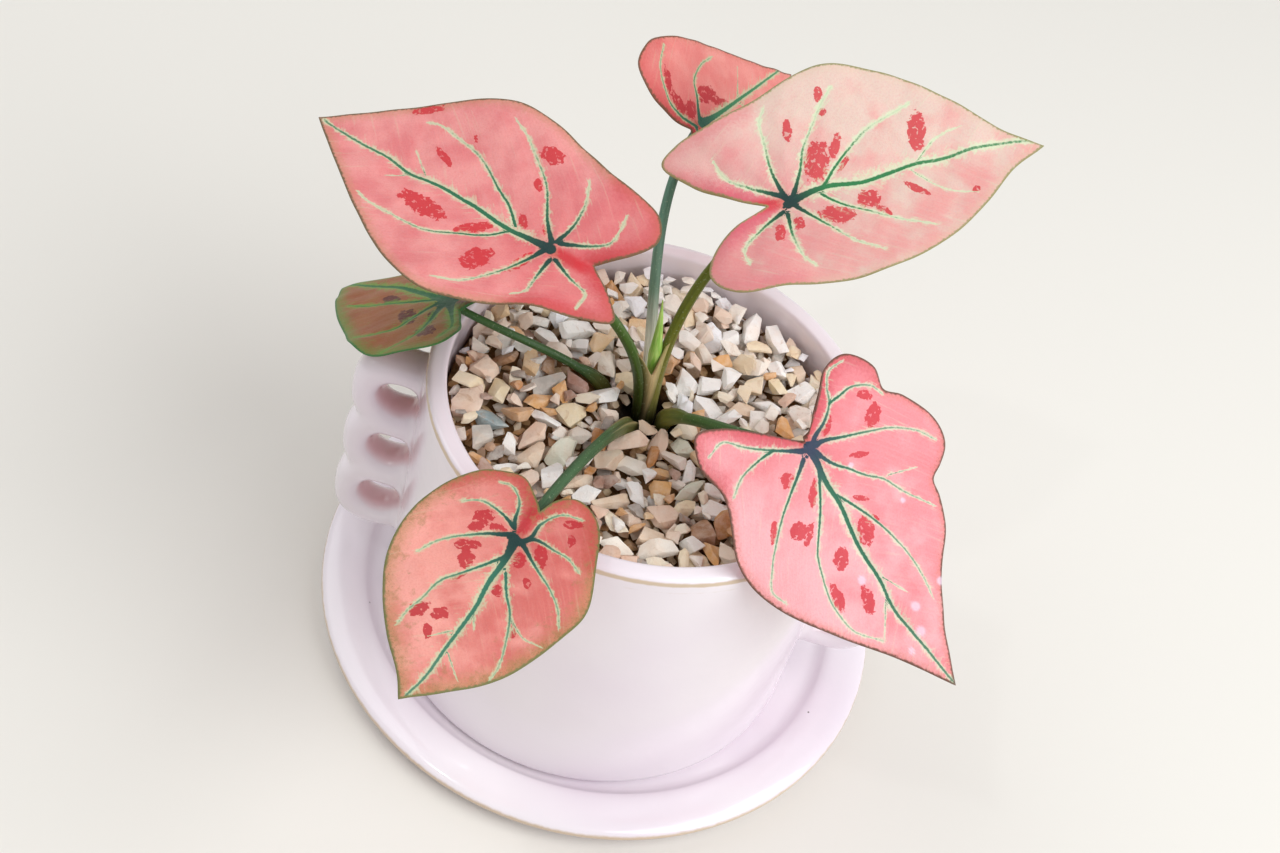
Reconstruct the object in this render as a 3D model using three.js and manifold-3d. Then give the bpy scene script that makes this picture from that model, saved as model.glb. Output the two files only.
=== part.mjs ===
// A pink caladium in a cylindrical glazed pot with finger loops, standing on its saucer.
// Millimetres, +Z up. The origin is the centre of the saucer's flat underside.

import * as THREE from 'three';
import { mergeVertices } from 'three/addons/utils/BufferGeometryUtils.js';
import { ConvexGeometry } from 'three/addons/geometries/ConvexGeometry.js';
import Module from 'manifold-3d';

const wasm = await Module();
wasm.setup();

// ---------------------------------------------------------------- driving dimensions

const GAP = 0.3;                       // clearance between pieces that touch

const SAUCER_RADIUS = 92;
const SAUCER_FLOOR = 5.2;              // top of the floor that the pot stands on
const SAUCER_LIP = 8.6;                // highest point of the broad lip
const SAUCER_WELL_RADIUS = 77;         // inner edge of the lip

const POT_AXIS = [-2, -8];             // the pot stands a little forward in its saucer
const POT_TOP = 111.5;
const POT_RIM_RADIUS = 65;
const POT_FOOT_RADIUS = 66.7;
const POT_WALL = 6;
const POT_FLOOR = 6.5;
const DRAIN_RADIUS = 6;

const LOOP_COUNT = 3;                  // finger loops in each of the two handles
const LOOP_TOP = 84.5;                 // height of the highest hole's centre
const LOOP_PITCH = 23.2;
const LOOP_DISTANCE = 71.6;            // pot axis to the highest hole's centre
const LOOP_DRIFT = 1.1;                // each lower loop stands this much further out
const LOOP_HOLE = 6.5;
const LOOP_REACH = [15, 15];           // half width and half height of a loop's outline
const LOOP_SQUARENESS = 2.7;
const LOOP_HALF_DEPTH = 6;
const LOOP_TURNS = 20;                 // faces round the hole, and round its thick ring
const LOOP_SIDES = 8;

const SOIL_BOTTOM = 12.5;
const SOIL_TOP = 98.2;
const CROWN = [-2, -4];                // where the petioles leave the tuber
const CROWN_NECK = 9.5;                // radius of the open soil round the petioles
const TUBER_RADIUS = 15;
const TUBER_TOP = 93.6;
const TUBER_BOTTOM = 74;

const GRAVEL_TOP = 101.3;              // top of the packed bed that the stones sit in
const GRAVEL_OPEN = 10.5;              // bare ring round the crown
const STONE_SPACING = 7.4;
const STONE_SIZES = [4, 5.8];          // half length of the smallest and largest stone
const STONE_CORNERS = 7;
const STONE_JITTER = 2.4;
const STONE_SEED = 20250;

const BLADE_THICKNESS = 0.8;
const KEEL = 3;                        // half width of the rounded fold along the midrib
const BLADE_RINGS = 3;
const BLADE_STEPS = 2;                 // outline steps between two of its points
const PETIOLE_SIDES = 8;
const PETIOLE_STEPS = 10;

// Each leaf: where its petiole meets the blade, the way its midrib points (turn about +Z,
// then down), its roll, and the fold of its two halves, in degrees. `arch` is how far the
// tip drops, `lobes` how far the two back lobes drop, and `wave` the height, count and
// phase of its edge's waves. The outline runs from the tip round the left half, the left
// lobe, the notch and the right lobe, measured from the petiole with +X along the midrib.
// The petiole is a cubic Bezier curve from the tuber to the blade; `radii` are its base,
// middle and top.
const LEAVES = {
  left: {
    joint: [-39.6, -13.3, 160], turn: 157.5, down: 2, roll: -11, fold: 13,
    arch: 3, lobes: 12, wave: [0.9, 7, 0.4], notch: 10,
    outline: [[79, -1], [64, 10], [48, 21], [31, 30.5], [18, 34.5], [8, 31.5], [-6, 22],
      [-18, 15], [-27, 10.5], [-20, 2.5], [-12, -3], [-19, -10], [-22.5, -17], [-17, -24.5],
      [-1, -26.5], [10, -30], [25, -32.5], [39, -30], [52, -22], [66, -11.5]],
    petiole: [[-4.7, -3, 91], [-4.8, 0, 119.5], [-16, -19, 146]], radii: [2.1, 2, 1.6],
  },
  right: {
    joint: [18.4, 25.5, 165], turn: 25.3, down: -14.6, roll: 16, fold: 16,
    arch: 3, lobes: 8, wave: [0.8, 6, 1.3], notch: 11,
    outline: [[76, 1], [65, 8], [51, 20.5], [35, 30], [18, 34.5], [0, 30], [-14, 25.5],
      [-26, 22], [-31, 18], [-24, 10], [-14, 4], [-6, -0.5], [-16, -4.5], [-24, -11.5],
      [-27, -19], [-22, -26], [-8, -28], [12, -30.5], [28, -27.5], [42, -21.5], [54, -13.5], [65, -4.5]],
    petiole: [[1.9, -3, 91], [-4.5, 1.5, 123.5], [-2.5, 12.5, 144]], radii: [2, 1.9, 1.6],
  },
  front_right: {
    joint: [40.1, -33.2, 135], turn: -27.2, down: 34, roll: 20, fold: -2,
    arch: -2, lobes: 4, wave: [1.2, 8, 0], notch: 15,
    outline: [[78, -1], [62, 6], [52, 12], [41, 23], [34, 26], [29, 27], [26.5, 30.5], [22, 35],
      [14, 36.5], [5, 32.5], [0, 28], [-7, 28.5], [-14, 24], [-14, 16], [-9, 10], [-2, -0.5],
      [-10, -8.5], [-18, -18], [-20.5, -25], [-13, -28.5], [-3, -27], [6, -31], [15, -34],
      [30, -31.5], [46, -22], [62, -10.5]],
    petiole: [[3.6, -7.6, 91], [-0.5, -6, 111], [17, -28.5, 123.5]], radii: [2.4, 2, 1.6],
  },
  front_left: {
    joint: [-27.7, -79.1, 122], turn: -106, down: 0, roll: -3.5, fold: 2,
    arch: 2, lobes: 0, wave: [0.9, 6, 2.2], notch: 9,
    outline: [[55, 0], [48, 7], [37, 16.5], [24, 22.5], [9, 25.5], [-6, 20.5], [-19, 14],
      [-21, 8], [-17, 3], [-11, 1], [-15, -2.5], [-19, -8.5], [-15, -15.5], [-4, -23.5],
      [10, -25.5], [22, -24], [32, -19], [42, -11.5], [50, -3.5]],
    petiole: [[-5.6, -8.2, 91], [-8, -18, 122], [-20.4, -47, 115.2]], radii: [2.4, 1.8, 1.5],
  },
  rear: {
    joint: [-9.6, 63, 154], turn: 67, down: 14, roll: 34, fold: 10,
    arch: 2, lobes: 8, wave: [0.7, 6, 0.9], notch: 9,
    outline: [[66, 0], [50, 6], [37, 12], [24, 18.5], [10, 23.5], [-3, 27.5], [-13, 27],
      [-20, 23], [-18, 13], [-8, 0], [-12, -8], [-14, -14], [-11, -19.5], [-2.5, -24], [10, -25],
      [26, -20], [44, -12]],
    petiole: [[-3.6, 2.8, 91], [-6, 11, 121], [-20, 39, 139]], radii: [1.9, 1.5, 1.2],
  },
  far_left: {
    joint: [-65, -1, 118], turn: 139.5, down: 38, roll: -5, fold: 0,
    arch: 2, lobes: 0, wave: [0.7, 6, 0.2], notch: 10,
    outline: [[74, -1], [58, 7], [40, 16.5], [22, 24], [7, 30], [-6, 31.5], [-18, 28],
      [-26, 22.5], [-24, 13], [-16, 7], [-8, 2], [-16, -7], [-25, -15], [-23, -25],
      [-12, -30], [3, -31], [20, -27], [38, -19], [56, -9]],
    petiole: [[-17, -0.4, 92.5], [-12.5, 4.5, 104.5], [-42.4, -6.4, 115.1]], radii: [2, 1.4, 1.2],
  },
};

const ROLLED_LEAF = {
  curve: [[-1.5, 0.1, 91], [-5.3, 1.7, 105], [-5.8, 2.9, 122], [-7.3, 1.7, 139.2]],
  radii: [0.8, 1.4, 0.15],
};

// ---------------------------------------------------------------- materials

const finish = (color, roughness) => new THREE.MeshStandardMaterial({ color, roughness, metalness: 0 });
const glaze = finish('#ece2ea', 0.2);
const darkSoil = finish('#33261d', 0.95);
const stone = finish('#dcc5a4', 0.8);
const tuberSkin = finish('#5d4a35', 0.9);
const stemGreen = finish('#4a5f2c', 0.5);
const youngGreen = finish('#8fbf4a', 0.45);
const bladeColours = {
  left: finish('#e27a76', 0.5),
  right: finish('#eba9a0', 0.5),
  front_right: finish('#e7827f', 0.5),
  front_left: finish('#e2866f', 0.5),
  rear: finish('#e0685f', 0.5),
  far_left: finish('#8d5a33', 0.5),
};

// ---------------------------------------------------------------- solids

function solidFrom(geometry) {
  const bare = geometry.clone();
  for (const name of Object.keys(bare.attributes)) {
    if (name !== 'position') bare.deleteAttribute(name);
  }
  const merged = mergeVertices(bare, 1e-4);
  return new wasm.Manifold(new wasm.Mesh({
    numProp: 3,
    vertProperties: new Float32Array(merged.attributes.position.array),
    triVerts: new Uint32Array(merged.index.array),
  }));
}

function geometryFrom(solid) {
  const { vertProperties, triVerts } = solid.getMesh();
  const geometry = new THREE.BufferGeometry();
  geometry.setAttribute('position', new THREE.BufferAttribute(vertProperties, 3));
  geometry.setIndex(new THREE.BufferAttribute(triVerts, 1));
  geometry.computeVertexNormals();
  return geometry;
}

// A closed grid: rows of equal length, each row a closed ring, with a fan over both ends.
function ringSolid(rows) {
  const count = rows[0].length;
  const points = rows.flat();
  const first = points.push(centreOf(rows[0])) - 1;
  const last = points.push(centreOf(rows[rows.length - 1])) - 1;
  const faces = [];
  for (let r = 0; r < rows.length - 1; r += 1) {
    for (let i = 0; i < count; i += 1) {
      const a = r * count + i;
      const b = r * count + (i + 1) % count;
      faces.push(a, b, b + count, a, b + count, a + count);
    }
  }
  for (let i = 0; i < count; i += 1) {
    const j = (i + 1) % count;
    const end = (rows.length - 1) * count;
    faces.push(first, j, i, last, end + i, end + j);
  }
  return meshSolid(points, faces);
}

function centreOf(ring) {
  const sum = ring.reduce((total, p) => total.add(p), new THREE.Vector3());
  return sum.divideScalar(ring.length);
}

function meshSolid(points, faces) {
  const geometry = new THREE.BufferGeometry();
  const numbers = points.flatMap((p) => [p.x, p.y, p.z]);
  geometry.setAttribute('position', new THREE.Float32BufferAttribute(numbers, 3));
  geometry.setIndex(faces);
  return solidFrom(geometry);
}

// A turned solid about +Z; the profile is [radius, height] from bottom to top.
function turned(profile, segments = 48) {
  const points = profile.map(([r, z]) => new THREE.Vector2(r, z));
  const geometry = new THREE.LatheGeometry(points, segments);
  geometry.rotateX(Math.PI / 2);
  return solidFrom(geometry);
}

function cylinder(radius, bottom, top, [x, y] = [0, 0], sides = 48) {
  const geometry = new THREE.CylinderGeometry(radius, radius, top - bottom, sides);
  geometry.rotateX(Math.PI / 2);
  geometry.translate(x, y, (top + bottom) / 2);
  return solidFrom(geometry);
}

// A tube along a curve whose radius runs from base through middle to top, grown by `extra`.
function taperedTube(curve, [base, middle, top], extra = 0) {
  const rows = [];
  const axis = new THREE.Vector3(1, 0, 0);
  for (let i = 0; i <= PETIOLE_STEPS; i += 1) {
    const t = i / PETIOLE_STEPS;
    const tangent = curve.getTangent(t);
    const side = new THREE.Vector3().crossVectors(tangent, axis).normalize();
    const up = new THREE.Vector3().crossVectors(side, tangent).normalize();
    const taper = t < 0.5 ? base + (middle - base) * t * 2 : middle + (top - middle) * (t * 2 - 1);
    const radius = taper + extra;
    const ring = [];
    for (let k = 0; k < PETIOLE_SIDES; k += 1) {
      const angle = (k / PETIOLE_SIDES) * 2 * Math.PI;
      const point = curve.getPoint(t).addScaledVector(up, radius * Math.cos(angle));
      ring.push(point.addScaledVector(side, radius * Math.sin(angle)));
    }
    rows.push(ring);
  }
  return ringSolid(rows);
}

// ---------------------------------------------------------------- saucer

function saucer() {
  return turned([
    [0, 0],
    [78, 0],
    [86, 1.2],
    [90.5, 3.2],
    [SAUCER_RADIUS, 5.4],
    [91.6, 6.8],
    [89, 7.9],
    [84, SAUCER_LIP],
    [80, 8.5],
    [SAUCER_WELL_RADIUS + 0.8, 7.8],
    [SAUCER_WELL_RADIUS - 0.6, 6.2],
    [74.5, SAUCER_FLOOR],
    [0, SAUCER_FLOOR],
  ]);
}

// ---------------------------------------------------------------- pot with its two handles

const POT_BOTTOM = SAUCER_FLOOR + GAP;
const INNER_RADIUS = POT_RIM_RADIUS - POT_WALL;
const INNER_FILLET = 3;                // where the inner wall meets the floor

function potInside(shrink = 0, bottom = POT_BOTTOM + POT_FLOOR, top = POT_TOP + 1) {
  const flare = (POT_FOOT_RADIUS - POT_RIM_RADIUS) / (POT_TOP - POT_BOTTOM);
  const radiusAt = (z) => INNER_RADIUS - shrink + (POT_TOP - z) * flare;
  return turned([
    [0, bottom],
    [radiusAt(bottom) - INNER_FILLET, bottom],
    [radiusAt(bottom + INNER_FILLET), bottom + INNER_FILLET],
    [radiusAt(top), top],
    [0, top],
  ]);
}

function outlineReach(angle) {
  const [rx, rz] = LOOP_REACH;
  const n = LOOP_SQUARENESS;
  return (Math.abs(Math.cos(angle) / rx) ** n + Math.abs(Math.sin(angle) / rz) ** n) ** (-1 / n);
}

// One thick finger loop standing in the XZ plane, round inside and squarer outside.
function fingerLoop(x, z) {
  const points = [];
  const faces = [];
  for (let i = 0; i < LOOP_TURNS; i += 1) {
    const angle = (i / LOOP_TURNS) * 2 * Math.PI;
    const reach = outlineReach(angle);
    const middle = (reach + LOOP_HOLE) / 2;
    const half = (reach - LOOP_HOLE) / 2;
    for (let k = 0; k < LOOP_SIDES; k += 1) {
      const section = (k / LOOP_SIDES) * 2 * Math.PI;
      const r = middle + half * Math.cos(section);
      const y = LOOP_HALF_DEPTH * Math.sin(section);
      points.push(new THREE.Vector3(x + r * Math.cos(angle), y, z + r * Math.sin(angle)));
      const a = i * LOOP_SIDES + k;
      const b = i * LOOP_SIDES + (k + 1) % LOOP_SIDES;
      const wrap = LOOP_TURNS * LOOP_SIDES;
      const c = (b + LOOP_SIDES) % wrap;
      const d = (a + LOOP_SIDES) % wrap;
      faces.push(a, b, c, a, c, d);
    }
  }
  return meshSolid(points, faces);
}

function pot() {
  let body = turned([
    [0, POT_BOTTOM],
    [63.5, POT_BOTTOM],
    [65.8, POT_BOTTOM + 0.9],
    [POT_FOOT_RADIUS, POT_BOTTOM + 3.5],
    [POT_RIM_RADIUS, POT_TOP - 2.2],
    [POT_RIM_RADIUS - 0.5, POT_TOP - 0.8],
    [POT_RIM_RADIUS - 1.6, POT_TOP],
    [0, POT_TOP],
  ]);
  for (const side of [-1, 1]) {
    for (let i = 0; i < LOOP_COUNT; i += 1) {
      body = body.add(fingerLoop(side * (LOOP_DISTANCE + i * LOOP_DRIFT), LOOP_TOP - i * LOOP_PITCH));
    }
  }
  body = body.subtract(potInside());
  body = body.subtract(cylinder(DRAIN_RADIUS, 0, 30, [0, 0], 24));
  return body.translate([...POT_AXIS, 0]);
}

// ---------------------------------------------------------------- leaves

// Smooth closed outline through the listed points, with sharp corners at the tip and notch.
function outlinePoints({ outline, notch }) {
  const halves = [outline.slice(0, notch + 1), [...outline.slice(notch), outline[0]]];
  const points = [];
  for (const half of halves) {
    const knots = half.map(([x, y]) => new THREE.Vector3(x, y, 0));
    const curve = new THREE.CatmullRomCurve3(knots, false, 'centripetal');
    const steps = (half.length - 1) * BLADE_STEPS;
    for (let i = 0; i < steps; i += 1) points.push(curve.getPoint(i / steps));
  }
  return points;
}

// Height of the blade's middle surface; `edge` runs from 0 at the petiole to 1 at the margin.
function bladeHeight(leaf, x, y, edge) {
  const length = leaf.outline[0][0];
  const fold = Math.tan(THREE.MathUtils.degToRad(leaf.fold)) * (Math.hypot(y, KEEL) - KEEL);
  const bend = (x > 0 ? leaf.arch : leaf.lobes) * (x / length) ** 2;
  const [height, count, phase] = leaf.wave;
  const wave = height * edge ** 3 * Math.sin(count * Math.atan2(y, x) + phase);
  return fold - bend + wave;
}

function bladeFrame(leaf) {
  const turn = THREE.MathUtils.degToRad(leaf.turn);
  const down = THREE.MathUtils.degToRad(leaf.down);
  const roll = THREE.MathUtils.degToRad(leaf.roll);
  return new THREE.Matrix4()
    .makeTranslation(...leaf.joint)
    .multiply(new THREE.Matrix4().makeRotationZ(turn))
    .multiply(new THREE.Matrix4().makeRotationY(down))
    .multiply(new THREE.Matrix4().makeRotationX(roll));
}

// The blade between `below` and `above` its middle surface, split alike on both faces.
function bladeSolid(leaf, below = BLADE_THICKNESS / 2, above = BLADE_THICKNESS / 2) {
  const rim = outlinePoints(leaf);
  const frame = bladeFrame(leaf);
  const count = rim.length;
  const points = [];
  for (const lift of [above, -below]) {
    points.push(new THREE.Vector3(0, 0, lift));
    for (let r = 1; r <= BLADE_RINGS; r += 1) {
      const edge = (r / BLADE_RINGS) ** 0.8;
      for (const p of rim) {
        const x = p.x * edge;
        const y = p.y * edge;
        points.push(new THREE.Vector3(x, y, bladeHeight(leaf, x, y, edge) + lift));
      }
    }
  }
  const face = 1 + count * BLADE_RINGS;
  const faces = [];
  const both = (a, b, c) => faces.push(a, b, c, face + a, face + c, face + b);
  for (let i = 0; i < count; i += 1) {
    const j = (i + 1) % count;
    both(0, 1 + i, 1 + j);
    for (let r = 0; r < BLADE_RINGS - 1; r += 1) {
      const inner = 1 + r * count;
      const outer = inner + count;
      both(inner + i, outer + i, outer + j);
      both(inner + i, outer + j, inner + j);
    }
    const edge = 1 + (BLADE_RINGS - 1) * count;
    faces.push(edge + i, face + edge + i, face + edge + j, edge + i, face + edge + j, edge + j);
  }
  return meshSolid(points.map((p) => p.applyMatrix4(frame)), faces);
}

function petioleCurve({ petiole, joint }) {
  const [a, b, c] = petiole.map((p) => new THREE.Vector3(...p));
  return new THREE.CubicBezierCurve3(a, b, c, new THREE.Vector3(...joint));
}

// The petiole sits on the tuber and stops a gap short of the blade's underside.
function petioleSolid(leaf) {
  const cutter = bladeSolid(leaf, BLADE_THICKNESS / 2 + GAP, 8);
  return taperedTube(petioleCurve(leaf), leaf.radii).subtract(cutter).subtract(tuberSolid(GAP));
}

function rolledLeafSolid() {
  const curve = new THREE.CubicBezierCurve3(...ROLLED_LEAF.curve.map((p) => new THREE.Vector3(...p)));
  return taperedTube(curve, ROLLED_LEAF.radii).subtract(tuberSolid(GAP));
}

function clearOfStems(solid) {
  const extra = GAP + 0.2;
  const stems = Object.values(LEAVES).map((leaf) => taperedTube(petioleCurve(leaf), leaf.radii, extra));
  return stems.reduce((rest, stem) => rest.subtract(stem), solid);
}

// ---------------------------------------------------------------- tuber, soil and gravel

function tuberSolid(grow = 0) {
  const middle = (TUBER_TOP + TUBER_BOTTOM) / 2;
  const half = (TUBER_TOP - TUBER_BOTTOM) / 2 + grow;
  const profile = [];
  const steps = 8;
  for (let i = 0; i <= steps; i += 1) {
    const angle = -Math.PI / 2 + (i / steps) * Math.PI;
    profile.push([(TUBER_RADIUS + grow) * Math.cos(angle) ** 0.7, middle + half * Math.sin(angle)]);
  }
  profile[0][0] = 0;
  profile[steps][0] = 0;
  return turned(profile, 20).translate([...CROWN, 0]);
}

// Potting soil, open round the crown, with a hollow for the tuber and a plain hole for the
// outlying petiole.
function soilSolid() {
  const fill = potInside(GAP, SOIL_BOTTOM + GAP, SOIL_TOP).translate([...POT_AXIS, 0]);
  const [x, y] = LEAVES.far_left.petiole[0];
  const hole = LEAVES.far_left.radii[0] + GAP + 0.4;
  const soil = fill
    .subtract(cylinder(CROWN_NECK, (TUBER_TOP + TUBER_BOTTOM) / 2, SOIL_TOP + 5, CROWN, 20))
    .subtract(tuberSolid(GAP))
    .subtract(cylinder(hole, LEAVES.far_left.petiole[0][2] - GAP, SOIL_TOP + 5, [x, y], 12));
  return clearOfStems(soil);
}

// A small linear generator gives the same stones in every build.
function seeded(seed) {
  let state = seed;
  return () => {
    state = (state * 16807) % 2147483647;
    return state / 2147483647;
  };
}

// Stones on a jittered hexagonal grid over the bed, clear of the crown and the pot's wall.
function stonePlaces(random) {
  const places = [];
  const reach = INNER_RADIUS - STONE_SIZES[1] - 0.6;
  const rowStep = STONE_SPACING * Math.sqrt(3) / 2;
  const rows = Math.ceil(reach / rowStep);
  for (let row = -rows; row <= rows; row += 1) {
    for (let column = -rows; column <= rows; column += 1) {
      const x = (column + (row % 2 ? 0.5 : 0)) * STONE_SPACING + (random() - 0.5) * STONE_JITTER;
      const y = row * rowStep + (random() - 0.5) * STONE_JITTER;
      const z = GRAVEL_TOP - 0.4 + random() * 1.8;
      const inPot = Math.hypot(x, y) < reach;
      const place = new THREE.Vector3(x + POT_AXIS[0], y + POT_AXIS[1], z);
      const offCrown = Math.hypot(place.x - CROWN[0], place.y - CROWN[1]) > GRAVEL_OPEN + STONE_SIZES[0];
      if (inPot && offCrown) places.push(place);
    }
  }
  return places;
}

function stoneSolid(random, place) {
  const length = STONE_SIZES[0] + (STONE_SIZES[1] - STONE_SIZES[0]) * random();
  const width = length * (0.62 + 0.25 * random());
  const scale = new THREE.Vector3(length, width, length * (0.5 + 0.2 * random()));
  const spin = new THREE.Euler(random() * 0.9 - 0.45, random() * 0.9 - 0.45, random() * 2 * Math.PI);
  const turn = random() * 2 * Math.PI;
  const corners = Array.from({ length: STONE_CORNERS }, (_, i) => {
    const height = 1 - (2 * (i + 0.5)) / STONE_CORNERS;
    const angle = turn + i * 2.4 + (random() - 0.5) * 0.8;
    const around = Math.sqrt(1 - height * height);
    return new THREE.Vector3(around * Math.cos(angle), around * Math.sin(angle), height)
      .multiply(scale).applyEuler(spin).add(place);
  });
  return solidFrom(new ConvexGeometry(corners));
}

function gravelSolid() {
  const random = seeded(STONE_SEED);
  const bed = cylinder(INNER_RADIUS - 2 * GAP, SOIL_TOP + GAP, GRAVEL_TOP, POT_AXIS);
  const stones = stonePlaces(random).map((place) => stoneSolid(random, place));
  let gravel = wasm.Manifold.union([bed, ...stones]);
  gravel = gravel.subtract(cylinder(GRAVEL_OPEN, SOIL_TOP - 5, GRAVEL_TOP + 30, CROWN, 20));
  gravel = gravel.subtract(cylinder(INNER_RADIUS + 5, SOIL_TOP - 10, SOIL_TOP + GAP, POT_AXIS));
  const parts = clearOfStems(gravel).decompose();
  return parts.reduce((largest, part) => (part.volume() > largest.volume() ? part : largest));
}

// ---------------------------------------------------------------- the plant in its pot

const plant = new THREE.Group();

function place(name, solid, material) {
  const mesh = new THREE.Mesh(geometryFrom(solid), material);
  mesh.name = name;
  plant.add(mesh);
}

place('saucer', saucer(), glaze);
place('pot', pot(), glaze);
place('soil', soilSolid(), darkSoil);
place('gravel', gravelSolid(), stone);
place('tuber', tuberSolid(), tuberSkin);
for (const [name, leaf] of Object.entries(LEAVES)) {
  place(`petiole_${name}`, petioleSolid(leaf), stemGreen);
  place(`blade_${name}`, bladeSolid(leaf), bladeColours[name]);
}
place('rolled_leaf', rolledLeafSolid(), youngGreen);

export default plant;
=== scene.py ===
# A pink caladium in a glazed pot with finger loops, standing on its saucer.
# Sizes are in millimetres, and become metres where a mesh is made. +Z is up, and the origin
# is the centre of the saucer's flat underside.

import itertools
import math

import bmesh
import bpy
import numpy as np
from mathutils import Matrix, Vector


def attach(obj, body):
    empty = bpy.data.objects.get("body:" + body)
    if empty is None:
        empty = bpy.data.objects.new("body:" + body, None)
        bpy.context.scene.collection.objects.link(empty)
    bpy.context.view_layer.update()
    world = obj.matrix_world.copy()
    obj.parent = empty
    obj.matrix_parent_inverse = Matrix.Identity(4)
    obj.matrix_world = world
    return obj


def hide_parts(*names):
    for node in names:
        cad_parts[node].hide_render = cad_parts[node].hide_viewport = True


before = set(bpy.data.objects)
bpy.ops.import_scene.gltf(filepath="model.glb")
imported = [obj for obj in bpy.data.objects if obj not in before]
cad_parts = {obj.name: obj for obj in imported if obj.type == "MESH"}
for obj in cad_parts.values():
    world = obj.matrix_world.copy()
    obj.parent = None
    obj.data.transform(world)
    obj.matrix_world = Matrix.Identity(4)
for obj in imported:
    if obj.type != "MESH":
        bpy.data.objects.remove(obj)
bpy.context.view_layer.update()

# ---- saucer
# A thrown stoneware plate with a broad rounded lip round a shallow well. It is glazed all
# over in a glossy pale lilac, which runs thin and shows the beige clay along its outer edge.

MM = 0.001
TURNED_SIDES = 192
SAUCER_PROFILE = [
    (0, 0), (74, 0), (77.5, 0), (81, 0.4), (86, 1.3), (90, 3), (91.7, 4.6), (92, 5.8), (91.5, 7),
    (89.6, 8), (86.8, 8.6), (83, 8.75), (80, 8.5), (78, 7.8), (76.8, 6.7), (75.4, 5.8), (73.6, 5.3),
    (70, 5.2), (66, 5.2), (0, 5.2),
]
SAUCER_THIN_GLAZE = (91.6, 5.6)  # where the clay shows: radius and height
SAUCER_WEAR = 2.6  # how wide it shows there
GLAZE_COLOUR = "#f3eaef"
GLAZE_POOL_COLOUR = "#ecdfe9"
BARE_CLAY_COLOUR = "#c9ad86"
SPECK_COLOUR = "#5b4a44"
HOLE_SHADE_COLOUR = "#e3b2b4"  # painted shade and warm bounced light inside the finger loops
SPECKS_SCALE = 75


def make_piece(name, points, faces):
    """A closed smooth mesh from points in millimetres, with its faces turned outwards."""
    mesh = bpy.data.meshes.new(name)
    mesh.from_pydata((np.asarray(points) * MM).tolist(), [], faces)
    shell = bmesh.new()
    shell.from_mesh(mesh)
    bmesh.ops.recalc_face_normals(shell, faces=shell.faces)
    shell.to_mesh(mesh)
    shell.free()
    mesh.shade_smooth()
    piece = bpy.data.objects.new(name, mesh)
    bpy.context.collection.objects.link(piece)
    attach(piece, "root")
    return piece


def mark(piece, name, values):
    """Keeps one number, or three, at each point of a piece, for its material to read."""
    values = np.asarray(values, dtype=np.float32)
    single = values.ndim == 1
    layer = piece.data.attributes.new(name, "FLOAT" if single else "FLOAT_VECTOR", "POINT")
    layer.data.foreach_set("value" if single else "vector", values.ravel())


def round_corners(line, rounds=2):
    """Cuts each corner of a line, again and again, and keeps its two ends."""
    line = np.array(line, dtype=float)
    for _ in range(rounds):
        early = 0.75 * line[:-1] + 0.25 * line[1:]
        late = 0.25 * line[:-1] + 0.75 * line[1:]
        cut = np.stack([early, late], axis=1).reshape(-1, line.shape[1])
        line = np.vstack([line[:1], cut[1:-1], line[-1:]])
    return line


def full_turn(sides):
    """Angles all round, in even steps."""
    return np.arange(sides) / sides * 2 * math.pi


def strip_faces(first, second, sides):
    """Four-sided faces from one closed ring of points to another."""
    ahead = [(i + 1) % sides for i in range(sides)]
    return [[first + i, first + j, second + j, second + i] for i, j in enumerate(ahead)]


def ring_faces(rings, sides, first=0):
    """Four-sided faces between neighbouring rings of points, each ring closed."""
    starts = range(first, first + (rings - 1) * sides, sides)
    return [face for start in starts for face in strip_faces(start, start + sides, sides)]


def fan_faces(centre, first, sides):
    """Triangles from one centre point to a closed ring of points."""
    return [[centre, first + i, first + (i + 1) % sides] for i in range(sides)]


def turned_piece(name, profile, centre=(0, 0), is_ring=False):
    """A profile of (radius, height) turned about an upright axis; a ring has a hole through it."""
    angle = full_turn(TURNED_SIDES)
    rings = profile if is_ring else profile[1:-1]
    radius = rings[:, 0, None]
    x = centre[0] + radius * np.cos(angle)
    y = centre[1] + radius * np.sin(angle)
    z = rings[:, 1, None] + 0 * angle
    points = np.stack([x, y, z], axis=-1).reshape(-1, 3)
    faces = ring_faces(len(rings), TURNED_SIDES)
    last = (len(rings) - 1) * TURNED_SIDES
    if is_ring:
        faces += strip_faces(last, 0, TURNED_SIDES)
    else:
        ends = [(*centre, profile[0, 1]), (*centre, profile[-1, 1])]
        faces += fan_faces(len(points), 0, TURNED_SIDES)
        faces += fan_faces(len(points) + 1, last, TURNED_SIDES)
        points = np.vstack([points, ends])
    return make_piece(name, points, faces)


def nearness(piece, centre, spot, reach):
    """How near each point is to a ring given as (radius, height): 1 on it, 0 beyond its reach."""
    points = np.empty(len(piece.data.vertices) * 3)
    piece.data.vertices.foreach_get("co", points)
    points = points.reshape(-1, 3) / MM
    radius = np.hypot(points[:, 0] - centre[0], points[:, 1] - centre[1])
    away = np.hypot(radius - spot[0], points[:, 2] - spot[1])
    return np.clip(1 - away / reach, 0, 1)


def colour(text):
    """A written colour as Blender's linear red, green, blue and alpha."""
    channels = [int(text[i:i + 2], 16) / 255 for i in (1, 3, 5)]
    linear = [c / 12.92 if c <= 0.04045 else ((c + 0.055) / 1.055) ** 2.4 for c in channels]
    return (*linear, 1)


class Reading:
    """A value inside a material. Reckoning with it makes the nodes that reckon the same."""

    def __init__(self, socket):
        self.socket = socket

    def __add__(self, other):
        return calc("ADD", self, other)

    def __sub__(self, other):
        return calc("SUBTRACT", self, other)

    def __mul__(self, other):
        return calc("MULTIPLY", self, other)

    def __truediv__(self, other):
        return calc("DIVIDE", self, other)


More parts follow.
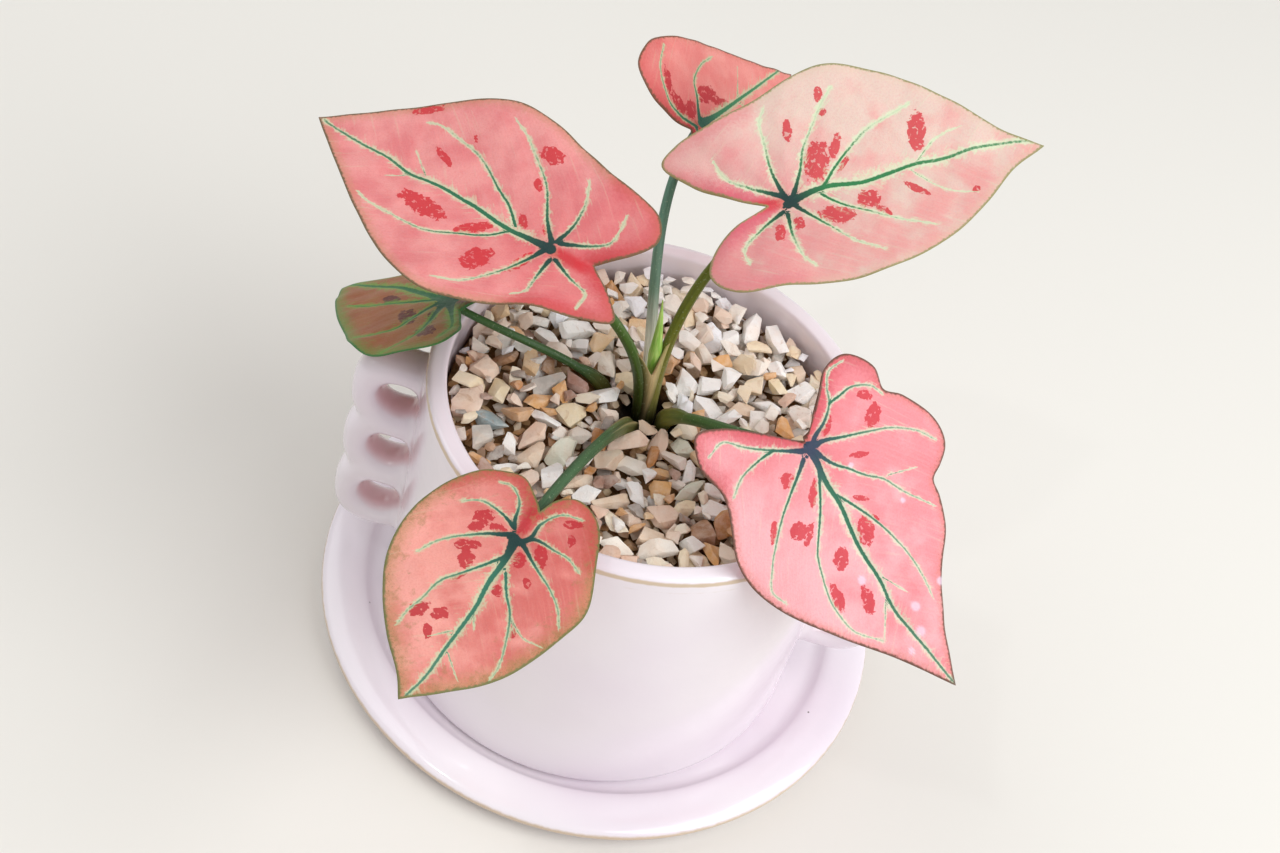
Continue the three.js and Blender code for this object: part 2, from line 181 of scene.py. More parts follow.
def new_material(name):
    """Starts a material. Every node made from then on goes into it, until the next one starts."""
    global material
    material = bpy.data.materials.new(name)
    material.use_nodes = True


def put(socket, value):
    """Sets a socket to a number or a written colour, or links it to a reading."""
    if isinstance(value, Reading):
        material.node_tree.links.new(value.socket, socket)
    elif isinstance(value, str):
        socket.default_value = colour(value)
    else:
        socket.default_value = value


def read_node(kind, inputs, output=0, **settings):
    """What a new node gives out, with its inputs by name or number."""
    made = material.node_tree.nodes.new("ShaderNode" + kind)
    for key, value in settings.items():
        setattr(made, key, value)
    for key, value in inputs.items():
        put(made.inputs[key], value)
    return Reading(made.outputs[output])


def calc(operation, first, second=0.0):
    """One step of reckoning with readings or numbers."""
    return read_node("Math", {0: first, 1: second}, operation=operation)


def ease(value, start, end, low=0.0, high=1.0):
    """Runs softly from `low` to `high` as the value goes from start to end."""
    limits = {"Value": value, "From Min": start, "From Max": end, "To Min": low, "To Max": high}
    return read_node("MapRange", limits, interpolation_type="SMOOTHSTEP")


def layers(base, *coats):
    """A colour with others laid over it in turn, each one by its own amount."""
    for amount, over in coats:
        base = read_node("Mix", {0: amount, 6: base, 7: over}, 2, data_type="RGBA")
    return base


def grain(place, scale, detail=2.0, roughness=0.5, distortion=0.0):
    """Soft noise between 0 and 1; the scale is in bumps for each unit of the place."""
    noise = {"Vector": place, "Scale": scale, "Detail": detail, "Roughness": roughness,
             "Distortion": distortion}
    return read_node("TexNoise", noise, "Fac")


def stored(name, output="Fac"):
    """What mark() keeps at each point: one number, or three as a Vector."""
    return read_node("Attribute", {}, output, attribute_name=name)


def object_place():
    return read_node("TexCoord", {}, "Object")


def one_axis(place, axis):
    return read_node("SeparateXYZ", {"Vector": place}, axis)


def finish(base, roughness, bump=None, bump_depth=0.0, **constants):
    """Wires the material's own shader: colour, roughness, bump, and plain numbers on its sockets."""
    shader = material.node_tree.nodes["Principled BSDF"]
    put(shader.inputs["Base Color"], base)
    put(shader.inputs["Roughness"], roughness)
    if bump is not None:
        relief = {"Height": bump, "Distance": bump_depth * MM, "Strength": 1.0}
        put(shader.inputs["Normal"], read_node("Bump", relief, "Normal"))
    for key, value in constants.items():
        shader.inputs[key.replace("_", " ")].default_value = value
    return material


def lilac_glaze():
    """Glossy pale glaze, pooled a little deeper in places, thin on edges, with iron specks, and painted
    shade inside the finger holes.
    """
    new_material("lilac_glaze")
    place = object_place()
    cells = {"Vector": place, "Scale": SPECKS_SCALE}
    chosen = ease(read_node("TexVoronoi", cells, "Color"), 0.62, 0.66)
    dot = ease(read_node("TexVoronoi", cells, "Distance"), 0.035, 0.015)
    worn = stored("thin_glaze") + grain(place, 320, 4) * 0.35
    base = layers(
        GLAZE_COLOUR,
        (ease(grain(place, 14), 0.35, 0.75), GLAZE_POOL_COLOUR),
        (chosen * dot, SPECK_COLOUR),
        (ease(worn, 0.62, 0.98, 0, 0.8), BARE_CLAY_COLOUR),
        # painted shade inside the finger holes
        (stored("finger_hole_shade") * 0.75, HOLE_SHADE_COLOUR))
    roughness = ease(grain(place, 90, 3), 0.3, 0.7, 0.13, 0.22)
    return finish(base, roughness, grain(place, 110), 0.12,
                  Coat_Weight=0.4, Coat_Roughness=0.06, Specular_IOR_Level=0.5)


glaze = lilac_glaze()
saucer = turned_piece("saucer_plate", round_corners(SAUCER_PROFILE))
mark(saucer, "thin_glaze", nearness(saucer, (0, 0), SAUCER_THIN_GLAZE, SAUCER_WEAR))
saucer.data.materials.append(glaze)
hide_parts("saucer")

# ---- pot
# A straight stoneware pot thrown with a flat rim, 6 mm thick, and a drain hole in its floor.
# It has the saucer's lilac glaze, worn to a beige line just under the rim's outer edge.

POT_AXIS = (-2, -8)
POT_TOP = 111.5
POT_BOTTOM = 5.5
RIM_RADIUS = 65
FOOT_RADIUS = 66.7
POT_PROFILE = [
    (6, 5.5), (6.4, 5.5), (60, 5.5), (63.2, 5.5), (64.6, 5.8), (65.9, 6.6), (66.6, 8), (66.7, 10),
    (66.66, 14), (66.4, 30), (65.6, 75), (65.1, 105), (65.05, 108), (65, 109.6), (64.6, 110.8),
    (63.7, 111.4), (62.6, 111.55), (61.4, 111.5), (60.2, 111.4), (59.3, 110.9), (59.02, 109.8),
    (59.04, 108), (59.1, 105), (60.3, 30), (60.55, 16), (60.2, 13.6), (59.2, 12.4), (57, 12),
    (54, 12), (6.6, 12), (6, 11.7), (6, 5.9),
]
RIM_THIN_GLAZE = ((64.9, 110), 1.7)  # where the clay shows, and how wide
LOWER_THIN_GLAZE = ((65.1, 106.6), 1.5)

pot = turned_piece("pot_wall", round_corners(POT_PROFILE), POT_AXIS, is_ring=True)
rim_line = nearness(pot, POT_AXIS, *RIM_THIN_GLAZE)
lower_line = nearness(pot, POT_AXIS, *LOWER_THIN_GLAZE) * 0.6
mark(pot, "thin_glaze", np.maximum(rim_line, lower_line))
pot.data.materials.append(glaze)
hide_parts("pot")

# ---- handles
# Three thick clay finger loops on each side of the pot, pressed onto it one above another and
# smoothed together while soft, so they grow into each other and into the wall.

LOOP_COUNT = 3
LOOP_TOP = 84.5
LOOP_PITCH = 23.2
LOOP_DISTANCE = 71.6
LOOP_DRIFT = 1.1
LOOP_HOLE = 6
LOOP_REACH = 15
LOOP_SQUARENESS = 2.7
LOOP_HALF_DEPTH = 6.3
LOOP_PLUMPNESS = 2.4  # 2 is a round section, and more is fuller
LOOP_BLEND = 3.2  # how softly the clay runs from one loop to the next
CLAY_BEYOND_LOOPS = 4  # the handle's root ends this far above and below them
WALL_DIP = 0.05  # the clay's feathered edge ends this far under the wall
CLAY_STEP = 0.7
PATCH_HALF_WIDTH = 13.5
PATCH_DEPTH = 4
HOLE_SHADE_WIDTH = 1.5
HANDLE_BOX = ((58, -15, 18), (91, 15, 106))  # the clay of one handle lies inside this


def wall_radius(z):
    return RIM_RADIUS + (FOOT_RADIUS - RIM_RADIUS) * (POT_TOP - z) / (POT_TOP - POT_BOTTOM)


def soft_least(a, b, blend):
    """The smaller of two distances, rounded where they meet."""
    share = np.clip(0.5 + 0.5 * (b - a) / blend, 0, 1)
    return b + (a - b) * share - blend * share * (1 - share)


def loop_distance(x, y, z):
    """Distance to the surface of the nearest finger loop, on the side of +X."""
    nearest = None
    for i in range(LOOP_COUNT):
        out = x - (LOOP_DISTANCE + i * LOOP_DRIFT)
        up = z - (LOOP_TOP - i * LOOP_PITCH)
        radius = np.hypot(out, up) + 1e-6
        squared = (abs(out) / radius) ** LOOP_SQUARENESS + (abs(up) / radius) ** LOOP_SQUARENESS
        outer = LOOP_REACH * squared ** (-1 / LOOP_SQUARENESS)
        half = (outer - LOOP_HOLE) / 2
        across = (radius - LOOP_HOLE - half) / half
        plump = abs(across) ** LOOP_PLUMPNESS + abs(y / LOOP_HALF_DEPTH) ** LOOP_PLUMPNESS
        loop = (plump ** (1 / LOOP_PLUMPNESS) - 1) * LOOP_HALF_DEPTH
        nearest = loop if nearest is None else soft_least(nearest, loop, LOOP_BLEND)
    return nearest


def handle_distance(points):
    """Below zero inside the clay of one handle, its roots feathered onto the wall."""
    x, y, z = np.moveaxis(points, -1, 0)
    from_axis = np.hypot(x, y)
    wall = from_axis - (wall_radius(z) - WALL_DIP)
    clay = soft_least(loop_distance(x, y, z), wall, LOOP_BLEND)
    in_wall = wall_radius(z) - PATCH_DEPTH - from_axis
    low = LOOP_TOP - (LOOP_COUNT - 1) * LOOP_PITCH - LOOP_REACH - CLAY_BEYOND_LOOPS
    high = LOOP_TOP + LOOP_REACH + CLAY_BEYOND_LOOPS
    sides = np.maximum(abs(y) - PATCH_HALF_WIDTH, np.maximum(low - z, z - high))
    return np.maximum(clay, np.maximum(in_wall, sides))


def surface_points(field, corner, step):
    """The closed surface where a field on a grid is zero: its points and four-sided faces."""
    inside = field < 0
    cells = tuple(np.array(field.shape) - 1)
    total = np.zeros((*cells, 3))
    count = np.zeros(cells)
    edges = []
    for axis in range(3):
        start = [slice(1, -1)] * 3
        start[axis] = slice(0, -1)
        end = list(start)
        end[axis] = slice(1, None)
        crossed = inside[tuple(start)] != inside[tuple(end)]
        where = np.argwhere(crossed)
        others = [a for a in range(3) if a != axis]
        where[:, others] += 1
        next_to = where.copy()
        next_to[:, axis] += 1
        low = field[tuple(where.T)]
        high = field[tuple(next_to.T)]
        place = where.astype(float)
        place[:, axis] += low / (low - high)
        corners = []
        for back in ((1, 1), (0, 1), (0, 0), (1, 0)):
            cell = where.copy()
            cell[:, others[0]] -= back[0]
            cell[:, others[1]] -= back[1]
            np.add.at(total, tuple(cell.T), place)
            np.add.at(count, tuple(cell.T), 1)
            corners.append(cell)
        edges.append(np.stack(corners, axis=1))
    number = np.cumsum(count.ravel() > 0).reshape(cells) - 1
    points = total[count > 0] / count[count > 0][:, None] * step + corner
    quads = np.concatenate(edges).reshape(-1, 3)
    faces = number[tuple(quads.T)].reshape(-1, 4)
    return points, faces.tolist()


def settle_on(points, distance, rounds=3, small=0.02, longest=0.3):
    """Moves points, in steps no longer than `longest`, onto the surface where a distance is zero."""
    for _ in range(rounds):
        value = distance(points)
        slope = np.stack([
            (distance(points + small * axis) - distance(points - small * axis)) / (2 * small)
            for axis in np.eye(3)], axis=-1)
        length = np.maximum((slope ** 2).sum(axis=-1), 0.2)
        points = points - np.clip(value / length, -longest, longest)[:, None] * slope
    return points


handle_low, handle_high = HANDLE_BOX
handle_axes = [np.arange(low, high, CLAY_STEP) for low, high in zip(handle_low, handle_high)]
handle_grid = np.stack(np.meshgrid(*handle_axes, indexing="ij"), axis=-1)
clay_points, clay_faces = surface_points(handle_distance(handle_grid), handle_low, CLAY_STEP)
clay_points = settle_on(clay_points, handle_distance)
# painted shade on the inner surface of each finger hole, fading out just past its edge
hole_shade = np.zeros(len(clay_points))
for i in range(LOOP_COUNT):
    from_hole = np.hypot(clay_points[:, 0] - LOOP_DISTANCE - i * LOOP_DRIFT,
                         clay_points[:, 2] - LOOP_TOP + i * LOOP_PITCH)
    inside = (LOOP_HOLE + HOLE_SHADE_WIDTH - from_hole) / HOLE_SHADE_WIDTH
    hole_shade = np.maximum(hole_shade, np.clip(inside, 0, 1))
for handle_name, side in (("handle_left", -1), ("handle_right", 1)):
    placed = clay_points * (side, 1, 1) + (*POT_AXIS, 0)
    handle = make_piece(handle_name, placed, clay_faces)
    mark(handle, "thin_glaze", np.zeros(len(placed)))
    mark(handle, "finger_hole_shade", hole_shade)
    handle.data.materials.append(glaze)
    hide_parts("pot")

# ---- soil
# Dark peaty potting soil that fills the pot to just under the gravel. It lies open and
# crumbly, almost black, in the pit round the crown.

SOIL_TOP = 98.2
SOIL_BOTTOM = 12.8
SOIL_RADIUS = 58.7
CROWN = (-2, -4)
PIT_RADIUS = 9.5
PIT_DEPTH = 3
PIT_SLOPE = 3  # the pit's side runs down over this width
SOIL_SAG = 0.4
SOIL_RINGS = 80
SOIL_SIDES = 140
SOIL_CRUMBS = [(4, 3, 0.4), (1.9, 4, 0.25)]  # how far across, seed, and how high
SOIL_COLOUR = "#1d1510"
SOIL_CRUMB_COLOUR = "#3a2b20"
DUST_COLOUR = "#96714a"  # fines of the gravel, washed onto the soil below it
DUST_STARTS = (8, 13)  # this far from the crown's middle


def unevenness(points, size, seed):
    """Smooth random bumps between about -1 and 1, each about `size` across."""
    random = np.random.default_rng(seed)
    total = np.zeros(len(points))
    for _ in range(8):
        direction = random.normal(size=3)
        direction /= np.linalg.norm(direction)
        waves = 2 * math.pi / size * random.uniform(0.7, 1.5)
        total += np.sin(points @ direction * waves + random.uniform(0, 2 * math.pi))
    return total / 3.5


soil_radii = SOIL_RADIUS * np.linspace(0, 1, SOIL_RINGS + 1)[1:]
soil_angles = full_turn(SOIL_SIDES)
soil_x = POT_AXIS[0] + soil_radii[:, None] * np.cos(soil_angles)
soil_y = POT_AXIS[1] + soil_radii[:, None] * np.sin(soil_angles)
soil_top = np.stack([soil_x, soil_y, SOIL_TOP + 0 * soil_x], axis=-1).reshape(-1, 3)
crumbs = sum(height * unevenness(soil_top, size, seed) for size, seed, height in SOIL_CRUMBS)
from_crown = np.hypot(soil_top[:, 0] - CROWN[0], soil_top[:, 1] - CROWN[1])
pit = PIT_DEPTH * np.clip((PIT_RADIUS - from_crown) / PIT_SLOPE, 0, 1)
soil_top[:, 2] += crumbs - SOIL_SAG - pit
soil_floor = soil_top[-SOIL_SIDES:] * (1, 1, 0) + (0, 0, SOIL_BOTTOM)
soil_middle = [(*POT_AXIS, SOIL_TOP - PIT_DEPTH), (*POT_AXIS, SOIL_BOTTOM)]
soil_points = np.vstack([soil_top, soil_floor, soil_middle])
soil_faces = ring_faces(SOIL_RINGS + 1, SOIL_SIDES)
soil_faces += fan_faces(len(soil_points) - 2, 0, SOIL_SIDES)
soil_faces += fan_faces(len(soil_points) - 1, SOIL_RINGS * SOIL_SIDES, SOIL_SIDES)
soil = make_piece("potting_soil", soil_points, soil_faces)
mark(soil, "dust", np.interp(np.hypot(*(soil_points[:, :2] - CROWN).T), DUST_STARTS, (0, 1)))
new_material("potting_soil")
soil_grain = grain(object_place(), 900, 4, 0.7)
soil_base = layers(
    SOIL_COLOUR,
    (ease(soil_grain, 0.5, 0.7), SOIL_CRUMB_COLOUR),
    (stored("dust") * ease(soil_grain, 0.3, 0.6, 0.6, 1), DUST_COLOUR))
soil.data.materials.append(finish(soil_base, 0.95, soil_grain, 0.5, Specular_IOR_Level=0.2))
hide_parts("soil")

# ---- tuber
# The swollen underground stem that all the leaves grow from. It is buried in the soil, and
# keeps its turned shape, in a ringed, scaly brown bark.

BARK_COLOUR = "#4a3826"
BARK_RING_COLOUR = "#6f5a40"
BARK_SCALE_COLOUR = "#2e2218"

new_material("tuber_bark")
bark_place = object_place()
bark_waves = {"Vector": bark_place, "Scale": 160, "Distortion": 6, "Detail": 3}
bark_rings = read_node("TexWave", bark_waves, "Fac", bands_direction="Z")
bark_base = layers(
    BARK_COLOUR,
    (bark_rings, BARK_RING_COLOUR),
    (ease(grain(bark_place, 400, 5, 0.6), 0.55, 0.75), BARK_SCALE_COLOUR))
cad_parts["tuber"].material_slots[0].material = finish(bark_base, 0.85, bark_rings, 0.4)

# ---- blades
# Six thin heart-shaped leaf blades, each carried by its petiole at the heart's inner corner.
# Pink flesh lies between sunken dark green veins with pale sides; red patches are spattered
# over it, and a thin green-brown margin runs round it.

BLADE_THICKNESS = 0.6
MARGIN_THINNING = 0.45  # the blade loses this share of its thickness at the margin
MARGIN_BULGE = 0.12  # and its edge is rounded by this much
KEEL = 3  # half width of the rounded fold along the midrib
MIDRIB = (0.85, 0.3, 0.45, 0.95, 0.45)  # half width of the dark core at each end, its fading,
SIDE_VEIN = (0.42, 0.17, 1.0, 0.5, 0.26)  # and the width of its pale sides at each end
FAINT_VEIN = (0.12, 0.06, 1.6, 0.3, 0.12)
HUB_SWELL = 0.75  # every vein is this much wider at the petiole
HUB_REACH = 4
VEIN_STEP = 0.8
BATCH = 3000  # points measured at a time
GROOVE = 0.22  # the veins lie this deep in the upper face
RIB = 0.5  # and stand this far out below
PUCKER = 0.4  # the flesh bulges this much between the veins
PUCKER_REACH = 3.2
BUMPS = [(15, 11, 0.28), (5, 12, 0.1)]  # broad and fine unevenness: size, seed and height
FLOW_SLANT = 0.9  # fine veins run outwards and on towards the tip
FLOW_BEND = 0.012
DOT_COLOUR = "#f3d9ec"  # dried water spots
FLOW_STRETCH = 0.13
BLADES = {
    "left": {
        "joint": (-39.6, -13.3, 160), "turn": 157.5, "down": 2, "roll": -11, "fold": 13,
        "arch": 3, "lobes": 12, "wave": (0.9, 7, 0.4), "notch": 10,
        "outline": [
            (79, -1), (64, 10), (48, 21), (31, 30.5), (18, 34.5), (8, 31.5), (-6, 22), (-18, 15),
            (-27, 10.5), (-20, 2.5), (-12, -3), (-19, -10), (-22.5, -17), (-17, -24.5), (-1, -26.5),
            (10, -30), (25, -32.5), (39, -30), (52, -22), (66, -11.5)],
        "veins": [
            [(0, 0), (3, 0), (13, 1), (26, 0), (36, 0), (46, 1), (54, 0), (66, 0), (77, -1)],
            [(12, -1), (17, -5), (23, -8), (32, -13), (41, -15), (48, -16), (52, -15)],
            [(1, -2), (6, -7), (12, -15), (20, -21), (26, -25), (31, -27)],
            [(0, -3), (-1, -9), (0, -16), (3, -22)],
            [(-1, -3), (-7, -6), (-12, -10), (-12, -15), (-11, -19)],
            [(12, 1), (16, 7), (23, 12), (29, 16), (39, 17), (47, 17), (51, 16)],
            [(1, 0), (3, 9), (6, 18), (11, 26), (16, 29)],
            [(-2, 3), (-3, 10), (-4, 17), (-2, 20)],
            [(-3, 2), (-10, 5), (-16, 7), (-17, 12)],
        ],
        "faint": [[(46, 1), (46, 2), (50, 6)], [(42, -1), (49, -6)]],
        "patches": [
            (41, -8, 3.4, 0.7, 156), (16, -23, 3.1, 1.9, 178), (37, -17, 1.3, 0.3, 127),
            (35, 9, 6.9, 2.7, 178), (20, 7, 5.1, 1.3, 55), (12, 16, 4.5, 2.8, 85),
            (11, -3, 2.3, 0.8, 135), (14, -14, 1.4, 0.9, 130), (5, -5, 2.2, 0.5, 122),
            (3, 9, 5.2, 1.1, 83), (54.5, -18.4, 5, 0.9, 38)],
    },
    "right": {
        "joint": (18.4, 25.5, 165), "turn": 25.3, "down": -14.6, "roll": 16, "fold": 16,
        "arch": 3, "lobes": 8, "wave": (0.8, 6, 1.3), "notch": 11,
        "outline": [
            (76, 1), (65, 8), (51, 20.5), (35, 30), (18, 34.5), (0, 30), (-14, 25.5), (-26, 22),
            (-31, 18), (-24, 10), (-14, 4), (-6, -0.5), (-16, -4.5), (-24, -11.5), (-27, -19),
            (-22, -26), (-8, -28), (12, -30.5), (28, -27.5), (42, -21.5), (54, -13.5), (65, -4.5)],
        "veins": [
            [(0, -1), (2, 0), (12, 2), (22, 1), (30, 2), (38, 3), (46, 3), (56, 4), (65, 4), (73, 3)],
            [(2, 1), (6, 8), (8, 13), (13, 20), (16, 24), (20, 28)],
            [(12, 3), (16, 7), (21, 11), (27, 15), (35, 18), (41, 20)],
            [(0, 1), (-2, 9), (-2, 17), (-2, 23), (0, 26)],
            [(-1, 2), (-9, 6), (-15, 10), (-17, 15)],
            [(-2, -3), (-9, -7), (-16, -13), (-16, -18)],
            [(-1, -4), (-2, -13), (-1, -20), (1, -23)],
            [(2, -2), (8, -10), (14, -18), (20, -23)],
            [(10, 0), (15, -5), (21, -9), (27, -13), (33, -16), (37, -18)],
        ],
        "faint": [[(38, 3), (46, 9), (54, 11)], [(36, 2), (44, -7), (52, -10)]],
        "patches": [
            (16, 27, 1.7, 0.8, 74), (16, 22, 0.9, 0.8, 176), (5, 19, 2.7, 1, 83),
            (11, 9, 5.2, 3.2, 73), (17, 12, 3.2, 1, 60), (18, 7, 2.7, 0.5, 41), (41, 12, 5.2, 2.1, 74),
            (36, -5, 3.5, 1, 131), (22, -5, 2.8, 2.6, 26), (25, -10, 1.9, 0.8, 116),
            (12, -8, 4.7, 2.5, 158), (1, -8, 2, 1.2, 71), (-5, -10, 2.8, 1.1, 72),
            (52, -9, 0.9, 0.7, 46)],
    },
    "front_right": {
        "joint": (40.1, -33.2, 135), "turn": -27.2, "down": 34, "roll": 20, "fold": -2,
        "arch": -2, "lobes": 4, "wave": (1.2, 8, 0), "notch": 15,
        "outline": [
            (78, -1), (62, 6), (52, 12), (41, 23), (34, 26), (29, 27), (26.5, 30.5), (22, 35),
            (14, 36.5), (5, 32.5), (0, 28), (-7, 28.5), (-14, 24), (-14, 16), (-9, 10), (-2, -0.5),
            (-10, -8.5), (-18, -18), (-20.5, -25), (-13, -28.5), (-3, -27), (6, -31), (15, -34),
            (30, -31.5), (46, -22), (62, -10.5)],
        "veins": [
            [(0, 0), (3, 0), (10, -1), (18, -1), (24, -2), (32, -3), (42, -3), (50, -4), (59, -3),
             (68, -2), (77, -1)],
            [(0, 2), (-1, 3), (-3, 8), (-6, 12), (-10, 14), (-13, 17), (-13, 22)],
            [(-6, 12), (-6, 16), (-6, 20), (-3, 25), (1, 27)],
            [(1, 2), (1, 4), (4, 11), (7, 18), (10, 24), (15, 30), (20, 33)],
            [(2, 1), (7, 3), (12, 7), (16, 10), (20, 14), (26, 17), (35, 23)],
            [(16, 0), (20, 2), (27, 5), (34, 7), (40, 8), (48, 8), (54, 7)],
            [(0, -2), (-5, -9), (-10, -15), (-15, -20), (-14, -25)],
            [(-5, -9), (-5, -14), (-4, -20), (-1, -25)],
            [(2, -3), (6, -9), (10, -15), (15, -21), (20, -26), (26, -30), (30, -29)],
            [(7, -1), (15, -6), (20, -10), (25, -14), (30, -16), (37, -18), (42, -18), (48, -17),
             (56, -11)],
        ],
        "faint": [[(46, -4), (56, -11)], [(41, -2), (49, 2)], [(20, 16), (23, 24)]],
        "patches": [
            (4, 21, 3.1, 1.9, 131), (-2, 22, 2.1, 1, 40), (10, 11, 2.5, 0.5, 63), (-2, 8, 2.7, 1, 133),
            (4, -10, 2, 1.7, 54), (11, -6, 3.3, 0.9, 140), (17, -15, 2.2, 2.2, 173),
            (19, -13, 3, 0.9, 124), (13, -21, 2.8, 0.8, 140), (28, 1, 3.7, 2.1, 145),
            (30, -9, 2.8, 1.8, 146), (38, -16, 3.4, 1.4, 173), (44, -9, 3.7, 1.5, 165),
            (20, 5, 1.9, 0.5, 46), (26, 5, 2.2, 0.3, 33)],
        "dots": [
            (11.1, 7.7, 1), (27.9, 15.3, 1), (53.1, 1.3, 1.7), (59.7, -1.1, 1.8), (62.7, -6.1, 1.2),
            (38.2, -7.4, 1.6), (52, 11.5, 1.5)],
    },
    "front_left": {
        "joint": (-27.7, -79.1, 122), "turn": -106, "down": 0, "roll": -3.5, "fold": 2,
        "arch": 2, "lobes": 0, "wave": (0.9, 6, 2.2), "notch": 9,
        "outline": [
            (55, 0), (48, 7), (37, 16.5), (24, 22.5), (9, 25.5), (-6, 20.5), (-19, 14), (-21, 8),
            (-17, 3), (-11, 1), (-15, -2.5), (-19, -8.5), (-15, -15.5), (-4, -23.5), (10, -25.5),
            (22, -24), (32, -19), (42, -11.5), (50, -3.5)],
        "veins": [
            [(0, 0), (7, 1), (15, 1), (23, 2), (31, 2), (38, 2), (46, 2), (53, 1)],
            [(-1, -1), (1, -4), (4, -8), (9, -13), (13, -16), (18, -18)],
            [(7, 0), (12, -3), (17, -6), (22, -9), (29, -10), (33, -11), (38, -11)],
            [(-3, -2), (-4, -4), (-5, -8), (-5, -13), (-2, -17)],
            [(-3, -2), (-5, -3), (-11, -5), (-14, -9), (-13, -12)],
            [(-1, 2), (-3, 3), (-8, 3), (-14, 6), (-16, 11)],
            [(-1, 2), (-3, 4), (-3, 10), (-3, 14), (-1, 18)],
            [(0, 1), (0, 2), (4, 8), (7, 13), (12, 19), (17, 22)],
            [(10, 3), (15, 6), (20, 10), (27, 13), (34, 15), (38, 15)],
        ],
        "faint": [[(21, 11), (24, 16), (24, 21)], [(24, 2), (29, 5)], [(38, 3), (43, 9)],
                  [(32, 1), (37, -3)]],
        "patches": [
            (-1, -10, 2.3, 1.9, 144), (3, -10, 1.6, 1.3, 141), (0, -5, 2.2, 1.2, 111),
            (9, -9, 2.9, 1.3, 129), (13, -7, 2.1, 1.8, 6), (32, -9, 2.5, 1.5, 147),
            (30, -4, 1.9, 1.4, 138), (36, -4, 1.7, 0.9, 31), (1, 8, 3.4, 1.3, 28),
            (10, 9, 1.2, 0.8, 24), (16, 4, 1.6, 0.9, 28), (24, 13, 1.2, 0.7, 27),
            (-13, 10, 2.3, 1.2, 129), (-8, 12, 1.6, 0.8, 26), (5, 4, 2.3, 1.3, 27),
            (18, -6, 2, 0.5, 149)],
    },
    "rear": {
        "joint": (-9.6, 63, 154), "turn": 67, "down": 14, "roll": 34, "fold": 10,
        "arch": 2, "lobes": 8, "wave": (0.7, 6, 0.9), "notch": 9,
        "outline": [
            (66, 0), (50, 6), (37, 12), (24, 18.5), (10, 23.5), (-3, 27.5), (-13, 27), (-20, 23),
            (-18, 13), (-8, 0), (-12, -8), (-14, -14), (-11, -19.5), (-2.5, -24), (10, -25), (26, -20),
            (44, -12)],
        "veins": [
            [(-1, 0), (9, 0), (27, 1), (44, 2), (58, 3)],
            [(-1, 0), (3, 7), (5, 12), (11, 15), (21, 16)],
            [(-4, 0), (-9, 5), (-12, 10), (-12, 15), (-10, 20), (-3, 25)],
            [(-1, 0), (3, -7), (5, -12), (11, -17), (21, -18)],
            [(-4, 0), (-7, -5), (-9, -10), (-8, -15), (-4, -19), (2, -22)],
        ],
        "faint": [[(25, 1), (33, 10)], [(25, 0), (34, -9)]],
        "patches": [
            (8, 7, 4.5, 2.2, 176), (14, 3, 5.3, 0.9, 158), (-9, 16, 3.5, 1.4, 64),
            (-8, 8, 4.1, 1.7, 108), (-3, 5, 2.8, 2.1, 177), (12, -10, 3.6, 1.6, 20)],
    },
    "far_left": {
        "joint": (-65, -1, 118), "turn": 139.5, "down": 38, "roll": -5, "fold": 0,
        "arch": 2, "lobes": 0, "wave": (0.7, 6, 0.2), "notch": 10,
        "outline": [
            (71, -2), (58, 7), (40, 16.5), (22, 24), (7, 30), (-6, 31.5), (-18, 28), (-26, 22.5),
            (-24, 13), (-16, 7), (-8, 2), (-16, -7), (-25, -15), (-23, -25), (-12, -30), (3, -31),
            (20, -27.5), (41, -21), (59, -12), (69, -7)],
        "veins": [
            [(0, 0), (3, -1), (20, -3), (35, -5), (51, -5), (71, -5)],
            [(7, -1), (16, 2), (25, 5), (34, 8), (44, 10)],
            [(5, 0), (4, 9), (2, 17), (4, 22), (11, 26)],
            [(2, 1), (-5, 10), (-11, 19), (-11, 24), (-9, 30)],
            [(0, 0), (-10, 6), (-19, 12), (-22, 18)],
            [(7, -1), (16, -8), (25, -13), (36, -16)],
            [(5, 0), (5, -10), (4, -18), (7, -26)],
            [(0, -2), (-8, -10), (-16, -15), (-17, -22)],
        ],
        "faint": [],
        "patches": [
            (29, 3, 4.1, 1.9, 171), (6, 11, 6.5, 2.4, 157), (-13, 17, 4.9, 2.4, 163),
            (-4, 9, 5.2, 1.1, 145), (18, -12, 4, 1.8, 20), (-6, -14, 3.4, 1.6, 50)],
    },
}


def curve_through(knots, steps):
    """Points on the smooth centripetal curve through a line of knots, both ends included."""
    knots = np.array(knots, dtype=float)
    before = 2 * knots[0] - knots[1]
    after = 2 * knots[-1] - knots[-2]
    knots = np.vstack([before, knots, after])
    gaps = np.maximum(np.linalg.norm(np.diff(knots, axis=0), axis=1) ** 0.5, 1e-4)
    points = []
    for i in range(1, len(knots) - 2):
        p0, p1, p2, p3 = knots[i - 1:i + 3]
        d0, d1, d2 = gaps[i - 1:i + 2]
        leave = ((p1 - p0) / d0 - (p2 - p0) / (d0 + d1) + (p2 - p1) / d1) * d1
        arrive = ((p2 - p1) / d1 - (p3 - p1) / (d1 + d2) + (p3 - p2) / d2) * d1
        w = (np.arange(steps) / steps)[:, None]
        square = -3 * p1 + 3 * p2 - 2 * leave - arrive
        cube = 2 * p1 - 2 * p2 + leave + arrive
        points.append(p1 + leave * w + square * w ** 2 + cube * w ** 3)
    return np.vstack([*points, knots[-2:-1]])


def even_steps(line, count):
    """The same line with `count` points at equal distances, without its last one."""
    along = np.concatenate([[0], np.cumsum(np.linalg.norm(np.diff(line, axis=0), axis=1))])
    stops = np.arange(count) / count * along[-1]
    return np.stack([np.interp(stops, along, line[:, k]) for k in range(line.shape[1])], axis=1)


